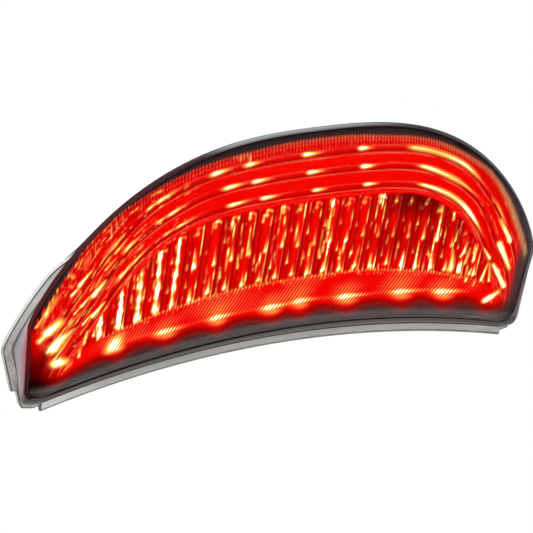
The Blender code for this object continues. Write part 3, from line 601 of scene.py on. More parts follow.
# light that each arc step throws: (x, spread left, spread right, strength, width across)
ARC_SPOTS = (
    ((-74.5, 2.4, 3.0, 0.25, 0.35), (-62.0, 1.0, 2.0, 0.9, 0.32), (-58.2, 1.2, 3.2, 1.1, 0.42),
     (-38.8, 1.6, 2.4, 1.5, 0.55), (-26.8, 1.3, 2.0, 1.4, 0.5), (-5.2, 1.1, 2.4, 1.6, 0.5),
     (16.6, 1.0, 1.7, 1.9, 0.5), (38.5, 2.0, 7.0, 0.9, 0.45), (57.0, 9.0, 6.0, 0.9, 0.45),
     (62.0, 5.0, 6.0, 0.8, 0.35), (80.0, 5.0, 4.0, 0.4, 0.5)),
    ((-69.0, 1.4, 3.0, 1.0, 0.4), (-58.6, 0.9, 1.8, 0.9, 0.32), (-54.2, 1.2, 2.6, 1.2, 0.42),
     (-34.0, 1.6, 2.6, 1.5, 0.55), (-24.0, 1.1, 2.6, 1.6, 0.5), (-3.2, 1.0, 2.3, 1.7, 0.5),
     (18.0, 1.0, 2.0, 2.0, 0.55), (43.5, 2.2, 9.0, 1.4, 0.5), (62.0, 9.0, 4.0, 0.55, 0.35)),
    ((-70.0, 2.4, 3.6, 0.6, 0.30), (-65.5, 2.2, 3.0, 0.7, 0.34), (-55.6, 0.9, 1.8, 0.8, 0.32),
     (-51.0, 1.1, 2.8, 1.0, 0.36), (-31.8, 1.5, 2.6, 1.6, 0.48), (-20.0, 1.1, 2.4, 1.7, 0.5),
     (-0.2, 1.0, 2.0, 1.5, 0.42), (20.0, 1.0, 2.0, 1.7, 0.45), (45.0, 2.6, 6.0, 1.5, 0.5),
     (56.0, 7.0, 5.0, 0.7, 0.45), (65.5, 6.0, 5.0, 1.9, 0.6)))
# where the second, thinner line beside the long streaks of each arc starts and ends
SECOND_LINES = ((34, 70), (40, 64), (44, 70))
# light behind the ribbed band: (x, height above the band line, half width, strength)
BAND_SPOTS = ((-69.6, 0.4, 3.3, 2.0), (-51.0, -0.4, 4.2, 1.2), (-31.4, 0.5, 3.6, 1.3),
              (-10.6, 0.1, 4.2, 1.4), (0.8, 0.8, 3.6, 1.2), (19.6, 0.2, 4.6, 1.4),
              (42.4, 0.2, 4.8, 1.2), (60.6, -0.2, 5.0, 1.3))
# profile across a flute: (change of red, place from the flute's middle, width)
FLUTE_SHADES = ((-0.46, 2.85, 0.26), (-0.46, -3.57, 0.26), (-0.30, -1.55, 0.28),
                (0.12, 1.0, 0.5), (-0.22, 1.75, 0.26))
# broken upright lines in a flute: (place, width, strength, noise scale, seed)
FLUTE_DASHES = ((-2.35, 0.20, 0.55, 0.24, 61), (-1.05, 0.20, 0.75, 0.21, 67),
                (-0.2, 0.22, 0.95, 0.17, 71), (0.75, 0.24, 1.15, 0.15, 73),
                (2.1, 0.20, 0.6, 0.22, 79))
# single lights near the corners: (x and rise of the bright foot, x and rise of the
# tail's end, half width, strength, how far it tapers)
STROKES = (
    (-93.6, -2.2, -90.4, 1.6, 1.25, 2.6, 0.1), (-96.0, -5.8, -94.0, -2.8, 0.75, 1.3, 0.3),
    (-91.2, -8.6, -88.9, -5.0, 1.5, 2.8, 0.1), (-88.9, -4.9, -85.3, -1.4, 0.8, 1.1, 0.5),
    (-89.4, -14.8, -87.4, -14.3, 1.35, 3.2, 0.0), (-94.9, 4.2, -93.8, 8.6, 0.5, 0.9, 0.3),
    (-84.5, 15.4, -81.2, 19.8, 0.52, 2.0, 0.5), (-87.0, 11.7, -84.4, 15.0, 0.40, 1.5, 0.6),
    (-79.4, 11.2, -76.2, 15.8, 0.66, 2.3, 0.4), (-83.3, 7.6, -80.6, 11.2, 0.48, 1.7, 0.5),
    (-79.0, 3.2, -75.7, 7.6, 0.55, 2.2, 0.5), (-85.6, 4.8, -83.6, 7.6, 0.34, 1.2, 0.6),
    (-82.1, 0.4, -79.4, 4.4, 0.38, 1.5, 0.6), (-80.9, -7.6, -80.4, -2.6, 0.42, 1.3, 0.0),
    (-81.8, -12.9, -81.9, -10.2, 0.45, 1.6, 0.4), (-93.2, -10.1, -88.2, -0.2, 0.26, 1.7, 0.2),
    (-90.6, -13.2, -86.0, -4.2, 0.24, 1.2, 0.3), (-97.8, -0.7, -95.1, 4.9, 0.26, 0.9, 0.2),
    (-91.9, 12.6, -91.2, 14.4, 0.36, 0.8, 0.3), (-93.1, 9.6, -92.5, 11.0, 0.36, 0.8, 0.3),
    (-88.5, 18.4, -87.5, 20.0, 0.5, 0.5, 0.3), (-86.0, 21.9, -85.0, 23.4, 0.36, 0.6, 0.3),
    (-73.0, 26.6, -69.6, 30.8, 0.42, 1.1, 0.6), (-76.0, 20.6, -72.8, 24.4, 0.36, 1.0, 0.6),
    (-70.6, 17.4, -67.4, 21.2, 0.40, 1.2, 0.6), (82.0, 7.0, 88.9, -4.2, 0.85, 2.6, 0.3),
    (78.4, 2.2, 75.0, 6.8, 0.50, 1.8, 0.5), (88.3, -11.8, 81.0, -1.4, 0.72, 2.5, 0.2),
    (83.6, -4.9, 81.4, -2.0, 0.8, 1.2, 0.2), (82.0, -17.0, 85.4, -14.4, 1.15, 3.0, 0.2),
    (86.4, 8.0, 80.9, 17.0, 0.80, 2.0, 0.5), (83.6, 11.6, 79.4, 17.6, 0.35, 1.0, 0.5),
    (61.7, 12.0, 62.1, 16.5, 0.40, 1.4, 0.5), (65.3, 5.1, 67.6, 10.4, 0.38, 1.5, 0.6),
    (71.2, 2.4, 71.7, 8.8, 0.46, 1.8, 0.6), (68.1, 1.8, 68.8, 7.2, 0.62, 1.0, 0.3),
    (62.3, 0.0, 61.9, 7.2, 0.9, 1.6, 0.6), (70.7, -3.3, 71.2, -1.1, 0.42, 1.7, 0.3),
    (70.1, -6.2, 70.2, -4.8, 0.42, 1.7, 0.2), (76.9, -6.9, 77.9, -0.1, 0.5, 1.9, 0.5),
    (80.5, -8.1, 78.8, -0.2, 0.32, 1.6, 0.5), (74.0, -8.9, 74.6, -5.8, 0.3, 0.9, 0.4))


def wave(value, pitch):
    return 0.5 + 0.5 * np.cos(2 * math.pi * value / pitch)


def toothed_band(from_edge, from_arc):
    """Where the teeth are, between the outer edge and the first arc."""
    return ramp(from_edge, -5.2, -3.2) * ramp(from_arc, 0.6, 1.8)


def leaning(x, rise):
    """Place across the leaning ribs."""
    return x - RIB_LEAN * (rise - height(LOW, x))


def strip(x, start, end):
    return (x >= start) & (x < end)


def arc_light(x, rise, from_arcs, grain, fine):
    """Red and warm light of the stepped arcs."""
    side = np.abs(x)
    # dark risers with a thin bright line on either side
    red = np.ones(x.shape)
    lines = np.zeros(x.shape)
    for away, dark in zip(from_arcs, (0.40, 0.36, 0.36)):
        red *= 1.0 - dark * bell(away + 0.75, 0.30) - 0.14 * bell(away + 0.2, 1.0)
        lines += 0.11 * bell(away + 1.45, 0.20) + 0.06 * bell(away - 0.85, 0.22)
    wander = noise(along(ARCS[1], x) * 0.16 + 7, rise * 0.05 + 3, 11)
    red = 0.98 * red * (0.86 + 0.14 * grain)
    hot = lines * (0.25 + 1.5 * wander) + 0.035 * np.clip(grain - 0.35, 0, 1)
    hot += 0.03 * ramp(side, 60, 30) * ramp(rise, 40, 52) * fine
    # fine thread-like streaks that run with the arcs towards the lower corners
    outer = ramp(side, 52, 74)
    thread = noise(along(ARCS[1], x) * 0.22 + 50, from_arcs[1] * 2.1 + 90, 17)
    hot += (outer * np.clip(thread - 0.76, 0, 1) ** 1.2 * 3.4 * np.where(x < 0, 1.0, 0.4)
            * ramp(side, 96, 88))
    strand = noise(along(ARCS[0], x) * 0.30 + 120,
                   (from_arcs[0] + 0.35 * from_arcs[1]) * 2.6 + 40, 19)
    hot += ramp(-x, 40, 56) * ramp(-x, 92, 84) * np.clip(strand - 0.80, 0, 1) * 3.2
    red *= 1.0 - 0.45 * outer * np.clip(0.42 - thread, 0, 1) * 2.0
    for table, away, spots in zip(ARCS, from_arcs, ARC_SPOTS):
        run = along(table, x)
        for spot_x, left, right, strength, width in spots:
            past = run - along(table, np.array([spot_x]))[0]
            lit = np.where(past < 0, bell(past, left * 0.75), bell(past, right * 1.05))
            narrow = width * (0.78 if left + right > 8.0 else 1.0)
            narrow = narrow * (1.0 - 0.35 * np.clip(past / (2.2 * right), 0, 1))
            hot += 1.3 * strength * lit * bell(away - 0.30, 0.66 * narrow)
    for away, (start, end) in zip(from_arcs, SECOND_LINES):
        gate = ramp(x, start, start + 8) * ramp(x, end, end - 8)
        hot += gate * (0.28 * bell(away - 1.05, 0.2) + 0.42 * bell(away + 0.25, 0.26))
    return red, hot


def tooth_light(x, rise, from_edge, from_arc, tooth, grain, fine):
    """Factor on the red, warm light and pale edge of the toothed band."""
    run = along(EDGE, x)
    band = toothed_band(from_edge, from_arc) * (1.0 - 0.5 * ramp(-x, 70, 86))
    row = 0.5 + 0.5 * np.cos(2 * math.pi * from_edge / 1.5 + 0.8 * tooth)
    hot = band * (0.01 + 0.13 * tooth ** 2 * row * (0.3 + fine)) * ramp(from_edge, -5.0, -0.6)
    factor = 1.0 - 0.46 * band * (1 - tooth) * (0.5 + 0.5 * fine)
    glints = np.clip(noise(run * 0.9 + 20, from_edge * 0.35 + 9, 23) - 0.60, 0, 1)
    near = bell(x + 28, 7.5) + 0.6 * bell(x - 18, 3.0) + 0.5 * bell(x + 76, 9)
    hot += 2.6 * near * glints * bell(from_edge + 2.4, 1.2) * tooth
    # pale outer edge, broadest on the right, and a fainter one over the middle
    gate = ramp(x, 42, 54) * (0.62 + 0.38 * ramp(x, 74, 88)) * ramp(rise, -4, 3)
    pale = gate * bell(from_edge + 0.65 + 0.5 * ramp(x, 74, 86), 0.42 + 0.42 * ramp(x, 60, 86))
    pale *= (0.15 + 0.95 * tooth ** 1.5) * (1.0 + 0.35 * ramp(x, 70, 84))
    middle = ramp(x, -40, 10) * ramp(x, 56, 40)
    pale += 0.42 * middle * bell(from_edge + 0.5, 0.42) * tooth ** 2
    left_gate = ramp(x, -84, -93) * ramp(rise, -2, 3) * ramp(rise, 14, 9)
    hot += 0.30 * left_gate * bell(from_edge + 1.4, 0.5) * (0.4 + grain)
    return factor, hot, pale


def comet_light(x, rise):
    """Comet-shaped streaks inside the flutes. The numbers set their places and sizes
    in millimetres, each with a random share."""
    rand = np.random.RandomState(41).rand
    streaks = np.zeros(x.shape)

    def comet(middle, foot, tail, width, strength):
        near = strip(x, middle - 3.0, middle + 3.0)
        up_tail = rise[near] - foot
        fading = np.exp(-np.clip(up_tail, 0, None) / tail) * ramp(up_tail, tail * 3.2, tail * 1.2)
        shape = np.where(up_tail < 0, bell(up_tail, width * 1.2), fading)
        local = width * (0.35 + 0.65 * np.exp(-np.abs(up_tail) / (tail * 0.8)))
        streaks[near] += strength * shape * bell(x[near] - middle, local)

    for i in range(-12, 12):
        middle = i * FLUTE_PITCH + FLUTE_SHIFT
        if abs(middle) > 76:
            continue
        top, low = float(height(TOP, middle)), float(height(LOW, middle))
        tall = top - low
        glow = 1.0 if middle < 24 else 0.85
        wide = 1.0 + 0.55 * float(ramp(-middle, 42.0, 56.0)) + 0.12 * rand()
        if tall < 5.0:
            continue
        # bright foot, middle and crown of the flute
        comet(middle + 0.2 + 0.5 * rand(), low + 1.6 + 1.2 * rand(), 3.0 + 1.6 * rand(),
              0.55 * wide, glow * (1.0 + 0.5 * rand()))
        if tall > 16.0:
            comet(middle + (0.9 if middle > -40 else 0.15) + 0.5 * rand(),
                  low + 0.46 * tall + 1.8 * rand() - 0.9, 3.4 + 1.6 * rand(),
                  0.50 * wide, glow * (0.8 + 0.5 * rand()))
        comet(middle - 1.7 - 0.3 * rand(), low + (0.20 + 0.12 * rand()) * tall,
              2.4 + 1.5 * rand(), 0.30, glow * 0.9 * rand() + 0.35)
        if tall > 12.0:
            comet(middle - 1.9 - 0.3 * rand(), low + (0.58 + 0.12 * rand()) * tall,
                  2.2 + 1.2 * rand(), 0.28, glow * 0.8 * rand() + 0.25)
        comet(middle + 1.9, low + 0.6 + 0.9 * rand(), 4.5, 0.26, 0.35 + 0.5 * rand())
        if middle < -44:
            comet(middle + 0.1, low + 0.3 * tall, 0.3 * tall, 0.62, 1.0)
            comet(middle, low + 0.66 * tall, 0.2 * tall, 0.60, 1.1)
        if tall > 9.0:
            # rounded, hooked head
            comet(middle - 0.1, top - 3.0 + 0.5 * rand(), 1.6, 0.62, glow * (0.6 + 0.5 * rand()))
            comet(middle - 1.3, top - 3.6 - 1.5 * rand(), 1.2, 0.30, 0.5 * glow)
    return streaks


def flute_light(x, rise, from_top, grain, fine):
    """Red and warm light of the upright flutes."""
    phase = (x - FLUTE_SHIFT) / FLUTE_PITCH
    flute = np.floor(phase + 0.5)
    off = (phase - flute) * FLUTE_PITCH     # from the flute's middle
    ridge = 0.88 + 0.12 * np.cos(2 * math.pi * (off - 0.4) / FLUTE_PITCH)
    for change, place, width in FLUTE_SHADES:
        ridge += change * bell(off - place, width)
    cloud = noise(x * 0.30 + 11, rise * 0.16 + 5, 29)
    # two dimmer areas on the right
    gloom = (1.0 - 0.45 * ramp(x, 24, 40) * ramp(rise, 22, 31) * ramp(x, 62, 52)
             - 0.25 * ramp(x, 20, 40) * ramp(rise, 6, 12) * ramp(x, 74, 60))
    red = np.clip(ridge * (0.74 + 0.36 * cloud) * gloom * (0.9 + 0.14 * fine), 0.12, 1.0)
    hot = 0.03 * np.clip(grain - 0.4, 0, 1)
    for place, width, strength, pace, seed in FLUTE_DASHES:
        lit = noise(flute * 3.7 + place * 5.0 + 80.5, rise * pace + flute * 5.3 + 40, seed)
        sway = 0.35 * (noise(flute * 1.9 + 20.5, rise * 0.11 + 7 * place + 50, seed + 1) - 0.5)
        rough = 0.55 + 0.75 * noise(flute * 2.3 + 9.5, rise * 0.9 + 11, seed + 2)
        dash = np.clip((lit - 0.57) * 4.2, 0.0, 1.2) * rough
        hot += strength * dash * bell(off - place - sway, width) * (0.45 + 0.55 * gloom)
    hot += comet_light(x, rise)
    # curved line round the head, and two thin lines down the flute
    head = from_top + 0.9 + 0.42 * np.clip(off - 0.1, 0, 4) ** 2 * 0.55
    hook = bell(head, 0.38) * ramp(off, -1.2, 0.0) * ramp(off, 2.5, 1.9)
    hook = hook * ramp(np.abs(x), 64, 52) * np.where(x > 30, 0.25, 1.0)
    hot += 0.62 * hook * (0.4 + noise(flute * 3.1 + 2.0, rise * 0.2 + 1, 37))
    thin = bell(off - 2.1, 0.17) * (0.10 + 0.34 * noise(flute * 5.3 + 0.5, rise * 0.12 + 3, 43))
    thin += (0.6 * bell(off + 2.45, 0.15)
             * (0.05 + 0.30 * noise(flute * 7.7 + 0.5, rise * 0.14 + 9, 47)))
    hot += thin * ramp(from_top, -0.5, -1.6)
    return red, 1.18 * np.minimum(hot, 1.6) ** 2.1


def bead_light(x, rise, from_low):
    """Two rows of beads at the feet of the flutes."""
    patch = np.clip(noise(x * 1.25 + 30, rise * 1.15 + 12, 53) - 0.56, 0, 1) * 3.4
    bead = wave(along(LOW, x), BEAD_PITCH) ** 3 * ramp(np.abs(x), 76, 68)
    return bead * ((0.35 + 0.9 * patch) * bell(from_low - 0.1, 0.40)
                   + 0.5 * patch * bell(from_low + 1.25, 0.36))


def band_light(x, rise, from_low):
    """Red and warm light of the ribbed band, and how far each light spreads down."""
    lean = leaning(x, rise)
    rib = wave(lean, RIB_PITCH)
    rib_line = rib ** 3
    above = rise - height(BAND_LINE, x)
    patch = noise(lean * 0.12 + 60, rise * 0.1 + 8, 31)
    hot = rib_line * (0.02 + 0.42 * np.clip(patch - 0.40, 0, 1)) * ramp(above, -1.5, 2.0)
    spread = np.zeros(x.shape)
    for spot_x, lift, half, strength in BAND_SPOTS:
        corner = spot_x < -66
        across = x - spot_x - 0.25 * above
        hang = x - spot_x + 0.5 * above
        strength = strength * 1.45
        reach = np.where(across < 0, half * 0.42, half * (0.5 if corner else 0.95))
        solid = bell(across, half * 0.22)
        if corner:
            thick = 1.9
            comb = 0.30 + 0.62 * rib_line
        else:
            thick = 0.72 * (1.0 - 0.45 * np.clip(across / (2.2 * half), 0, 1))
            comb = 0.12 + 0.24 * solid + (1.3 - 0.3 * solid) * rib_line
        core = strength * bell(across, reach) * bell(above - lift, thick)
        beam = (0.16 * strength * bell(across + 0.6, half * 0.75)
                * bell(above - lift - 2.9, 2.2) * ramp(from_low, -0.5, -2.0))
        under = 0.42 * strength * bell(hang - 0.8, half * 0.52) * bell(above - lift + 2.1, 1.1)
        hot += core * comb + (beam + under) * (0.12 + 1.0 * rib_line)
        spread = np.maximum(spread, bell(hang, half * 0.85))
    hot += (0.55 * rib_line ** 2 * bell(above - 0.5, 0.42) * ramp(np.abs(x), 74, 66)
            * (0.30 + spread))
    return 0.80 + 0.18 * rib, hot, spread


def stroke_light(x, rise):
    """The single lights near the corners."""
    strokes = np.zeros(x.shape)
    for foot_x, foot_rise, end_x, end_rise, width, strength, taper in STROKES:
        near = strip(x, min(foot_x, end_x) - 5.0, max(foot_x, end_x) + 5.0)
        length = math.hypot(end_x - foot_x, end_rise - foot_rise)
        way_x, way_rise = (end_x - foot_x) / length, (end_rise - foot_rise) / length
        dx, dy = x[near] - foot_x, rise[near] - foot_rise
        run, aside = dx * way_x + dy * way_rise, -dx * way_rise + dy * way_x
        share = np.clip(run / length, 0.0, 1.0)
        beyond = np.where(run > length, bell(run - length, width * 0.9), 1.0)
        body = np.where(run < 0, bell(run, width * 0.9), beyond) * (1.0 - 0.62 * share)
        rough = 0.75 + 0.5 * noise(x[near] * 1.6 + 30, rise[near] * 1.6 + 60, 83)
        across = bell(aside, width * (1.0 - taper * share) * 0.68)
        strokes[near] += 0.85 * strength * body * rough * across
    return strokes


def optic_light(x, rise):
    """How the lit optic looks: its red level, the warm light that gets through, how pale
    and smoked it is, and a painted grey glow in place of lit grey near the rim's lower edge."""
    side = np.abs(x)
    from_arcs = [distance_to(table, x, rise) for table in ARCS]
    from_edge, from_top, from_low = (distance_to(t, x, rise) for t in (EDGE, TOP, LOW))
    from_edge = from_edge - 0.65 * ramp(-x, 45, 75)
    grain = noise(x * 1.9 + 40, rise * 1.9 + 40, 3)
    fine = noise(x * 4.1 + 90, rise * 4.1 + 90, 5)
    tooth = wave(along(EDGE, x), TOOTH_PITCH)

    red_arcs, hot_arcs = arc_light(x, rise, from_arcs, grain, fine)
    factor, hot_teeth, pale = tooth_light(x, rise, from_edge, from_arcs[0], tooth, grain, fine)
    red_flutes, hot_flutes = flute_light(x, rise, from_top, grain, fine)
    red_band, hot_band, spread = band_light(x, rise, from_low)

    in_flutes = ramp(from_top, 0.15, -0.15) * ramp(from_low, -0.1, 0.4)
    below = ramp(from_low, 0.4, -0.1) * ramp(from_top, 0.6, -0.2)
    above = np.clip(1.0 - in_flutes - below, 0, 1)
    red = red_arcs * factor * above + red_flutes * in_flutes + red_band * below
    hot = (hot_arcs + hot_teeth) * above + hot_flutes * in_flutes + hot_band * below
    hot += bead_light(x, rise, from_low) + stroke_light(x, rise)
    # a thin bright line where each flute head meets the lowest arc step
    hot += 0.05 * bell(from_top - 0.9, 0.22) * above

    # the glow fades into the dark lower part
    for light_x, width in ((-88.0, 5.0), (83.4, 4.0)):
        spread = np.maximum(spread, 0.9 * bell(x - light_x, width))
    reach = height(BAND_LINE, x) - 1.0 - 3.3 * spread - 0.6 * ramp(side, 60, 84)
    past = rise - reach
    fade = ramp(past, -2.6, 1.0) ** 1.25
    tail = 0.36 * ramp(past, -8.5, -0.3) ** 1.3
    red = np.clip(red, 0, 1.1) * fade + tail * (1 - fade)
    hot *= ramp(past, -2.0, 1.2)
    # the lower left and lower right corners are darker
    left = ((1.0 - 0.88 * ramp(-x, 88.0, 96.5) * ramp(-rise, 4, 17))
            * (1.0 - 0.94 * ramp(-x, 85, 94.5) * ramp(-rise, 16.5, 25)))
    right = ramp(x, 89.6, 94.4) * ramp(rise, 8, -3)
    red *= left * (1.0 - 0.96 * right)
    hot *= left * (1.0 - 0.8 * right)
    # the pattern ends in a jagged line at the border
    jag = -0.75 * (tooth - 0.5) * ramp(side, 99, 96)
    inside = ramp(from_edge + jag, 0.22, -0.30)
    soft = 0.45 + 0.55 * ramp(from_edge, -0.1, -2.2)
    red = red * inside * (soft + (1 - soft) * 0.6)
    hot = hot * inside

    from_rim = rise + RIM_ARCH + rim_sag(x)     # height above the rim's lower edge
    smoke = ramp(past, -1.5, -5.5) * (0.2 + 0.8 * ramp(from_rim, 7.0, 3.0))
    outside = (0.36 + 0.55 * ramp(x, 58, 80)) * (1.0 - inside)
    smoke = np.maximum(smoke * (1.0 - 0.64 * ramp(side, 97, 99)), outside)
    smoke = np.maximum(smoke, 0.38 * right)
    smoke *= 1.0 - 0.75 * ramp(x, -93, -97) * ramp(rise, -27.0, -22.0)
    # painted light: a grey glow near the rim's lower edge, where the lens rim shades the optic,
    # takes the place of the red and the cover
    ground = 0.8 * ramp(from_rim, 3.2, 1.4) * ramp(x, -95, -88) * ramp(x, 97, 94)
    return (red * (1.0 - ground), 0.9 * np.clip(hot, 0, 3),
            np.clip(pale * above * inside, 0, 1), smoke * (1.0 - ground), ground)


# ---------------------------------------------------------------- optic
def envelope(ring, x):
    """Upper and lower edge of a closed outline at x."""
    first, last = int(np.argmin(ring[:, 0])), int(np.argmax(ring[:, 0]))
    over = ring[first:last + 1]
    under = np.concatenate([ring[last:], ring[:first + 1]])[::-1]
    return np.interp(x, over[:, 0], over[:, 1]), np.interp(x, under[:, 0], under[:, 1])


def optic_relief(x, rise):
    """How far the optic's face stands back from its mean surface."""
    from_arcs = [distance_to(table, x, rise) for table in ARCS]
    from_top, from_low, from_edge = (distance_to(t, x, rise) for t in (TOP, LOW, EDGE))
    steps = np.zeros(x.shape)
    for away in from_arcs:
        steps += ramp(away, -0.9, 0.1) * np.exp(-np.clip(away, 0, None) / 4.5)
    phase = (x - FLUTE_SHIFT) / FLUTE_PITCH
    off = (phase - np.floor(phase + 0.5)) * 2.0
    flutes = 0.95 * (off * off) ** 0.8
    teeth = (0.22 * (1.0 - wave(along(EDGE, x), TOOTH_PITCH))
             * toothed_band(from_edge, from_arcs[0]))
    ribs = 0.22 * (1.0 - wave(leaning(x, rise), RIB_PITCH)) * ramp(rise, -24, -14)
    in_flutes = ramp(from_top, 0.3, -0.9) * ramp(from_low, -0.3, 1.0)
    below = ramp(from_low, 0.4, -0.4) * ramp(from_top, 0.6, -0.2)
    above = np.clip(1 - in_flutes - below, 0, 1)
    return 0.5 * ((steps + teeth) * above + (0.25 + flutes) * in_flutes
                  + (0.5 + ribs) * below) - 0.2


def build_optic():
    columns, rows = ((500, 168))
    ring = rim_ring(1.25)
    across = np.linspace(ring[:, 0].min() + 0.02, ring[:, 0].max() - 0.02, columns + 1)
    top, low = envelope(ring, across)
    share = np.linspace(0.0, 1.0, rows + 1)
    x = np.repeat(across[None, :], rows + 1, 0).ravel()
    rise = (low[None, :] + (top - low)[None, :] * share[:, None]).ravel()
    depth = crown(x, rise) + OPTIC_GAP + optic_relief(x, rise)
    verts = [face_points(x, rise, depth)]
    index = np.arange((rows + 1) * (columns + 1)).reshape(rows + 1, columns + 1)
    quads = np.stack([index[:-1, :-1], index[:-1, 1:], index[1:, 1:], index[1:, :-1]], -1)
    faces = quads.reshape(-1, 4).tolist()

    # turned-in rim and a plain back, so that the optic is a solid tray
    loop = np.concatenate([index[0, :], index[1:, -1], index[-1, -2::-1], index[-2:0:-1, 0]])
    count, base = len(loop), len(x)
    loop_x, loop_rise = x[loop], rise[loop]
    # a ledge reaches out into the wall of the lens, so that nothing shows between the two
    wall = rim_ring(0.35)
    wall = np.concatenate([wall + (np.roll(wall, -1, 0) - wall) * t
                           for t in np.arange(0.0, 1.0, 0.1)])
    near = np.argmin((loop_x[:, None] - wall[None, :, 0]) ** 2
                     + (loop_rise[:, None] - wall[None, :, 1]) ** 2, axis=1)
    verts.append(face_points(*wall[near].T, np.maximum(depth[loop] + 0.1, 1.5)))
    # rings of the back: share of the outline, depth behind the smooth face
    for share, extra in ((0.985, 1.3), (0.97, 2.6), (0.80, 3.4)):
        inner = towards_middle(np.stack([loop_x, loop_rise], 1), share).T
        verts.append(face_points(*inner, crown(*inner) + OPTIC_GAP + extra))
    rings = [loop] + [base + k * count + np.arange(count) for k in range(4)]
    for here, there in zip(rings[:-1], rings[1:]):
        faces += np.stack([here, there, np.roll(there, -1), np.roll(here, -1)], -1).tolist()
    verts.append(face_points(*FACE_MIDDLE[:, None], np.array([-CROWN + OPTIC_GAP + 5.4])))
    hub = base + 4 * count
    last = rings[-1]
    faces += [(int(last[i]), hub, int(last[(i + 1) % count])) for i in range(count)]
    obj = add_mesh("optic_moulding", np.concatenate(verts), faces)

    red, hot, pale, smoke, ground = optic_light(x, rise)
    # painted light on the ledge: a red glow low on the left side, and a grey glow along the low
    # part, where the lens rim shades it
    painted_red_glow = 0.26 * ramp(-loop_x, 93.0, 97.0) * ramp(loop_rise, -22.0, -12.0)
    low_grey = 0.8 * ramp(-loop_rise, 14.0, 18.0) * ramp(loop_x, -97.0, -90.0)
    # name, then values on the face, on the ledge and on the back
    for name, face, ledge, rear in (("ground", ground, low_grey, 0.0), ("red", red, painted_red_glow, 0.05),
                                    ("hot", hot, 0.0, 0.0), ("pale", pale, 0.0, 0.0),
                                    ("smoke", smoke, 0.0, 0.2)):
        values = [face, np.broadcast_to(ledge, count), np.full(hub + 1 - base - count, rear)]
        give_attribute(obj, name, np.concatenate(values))
    obj.data.materials.append(optic_material())
    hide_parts("optic_lens")


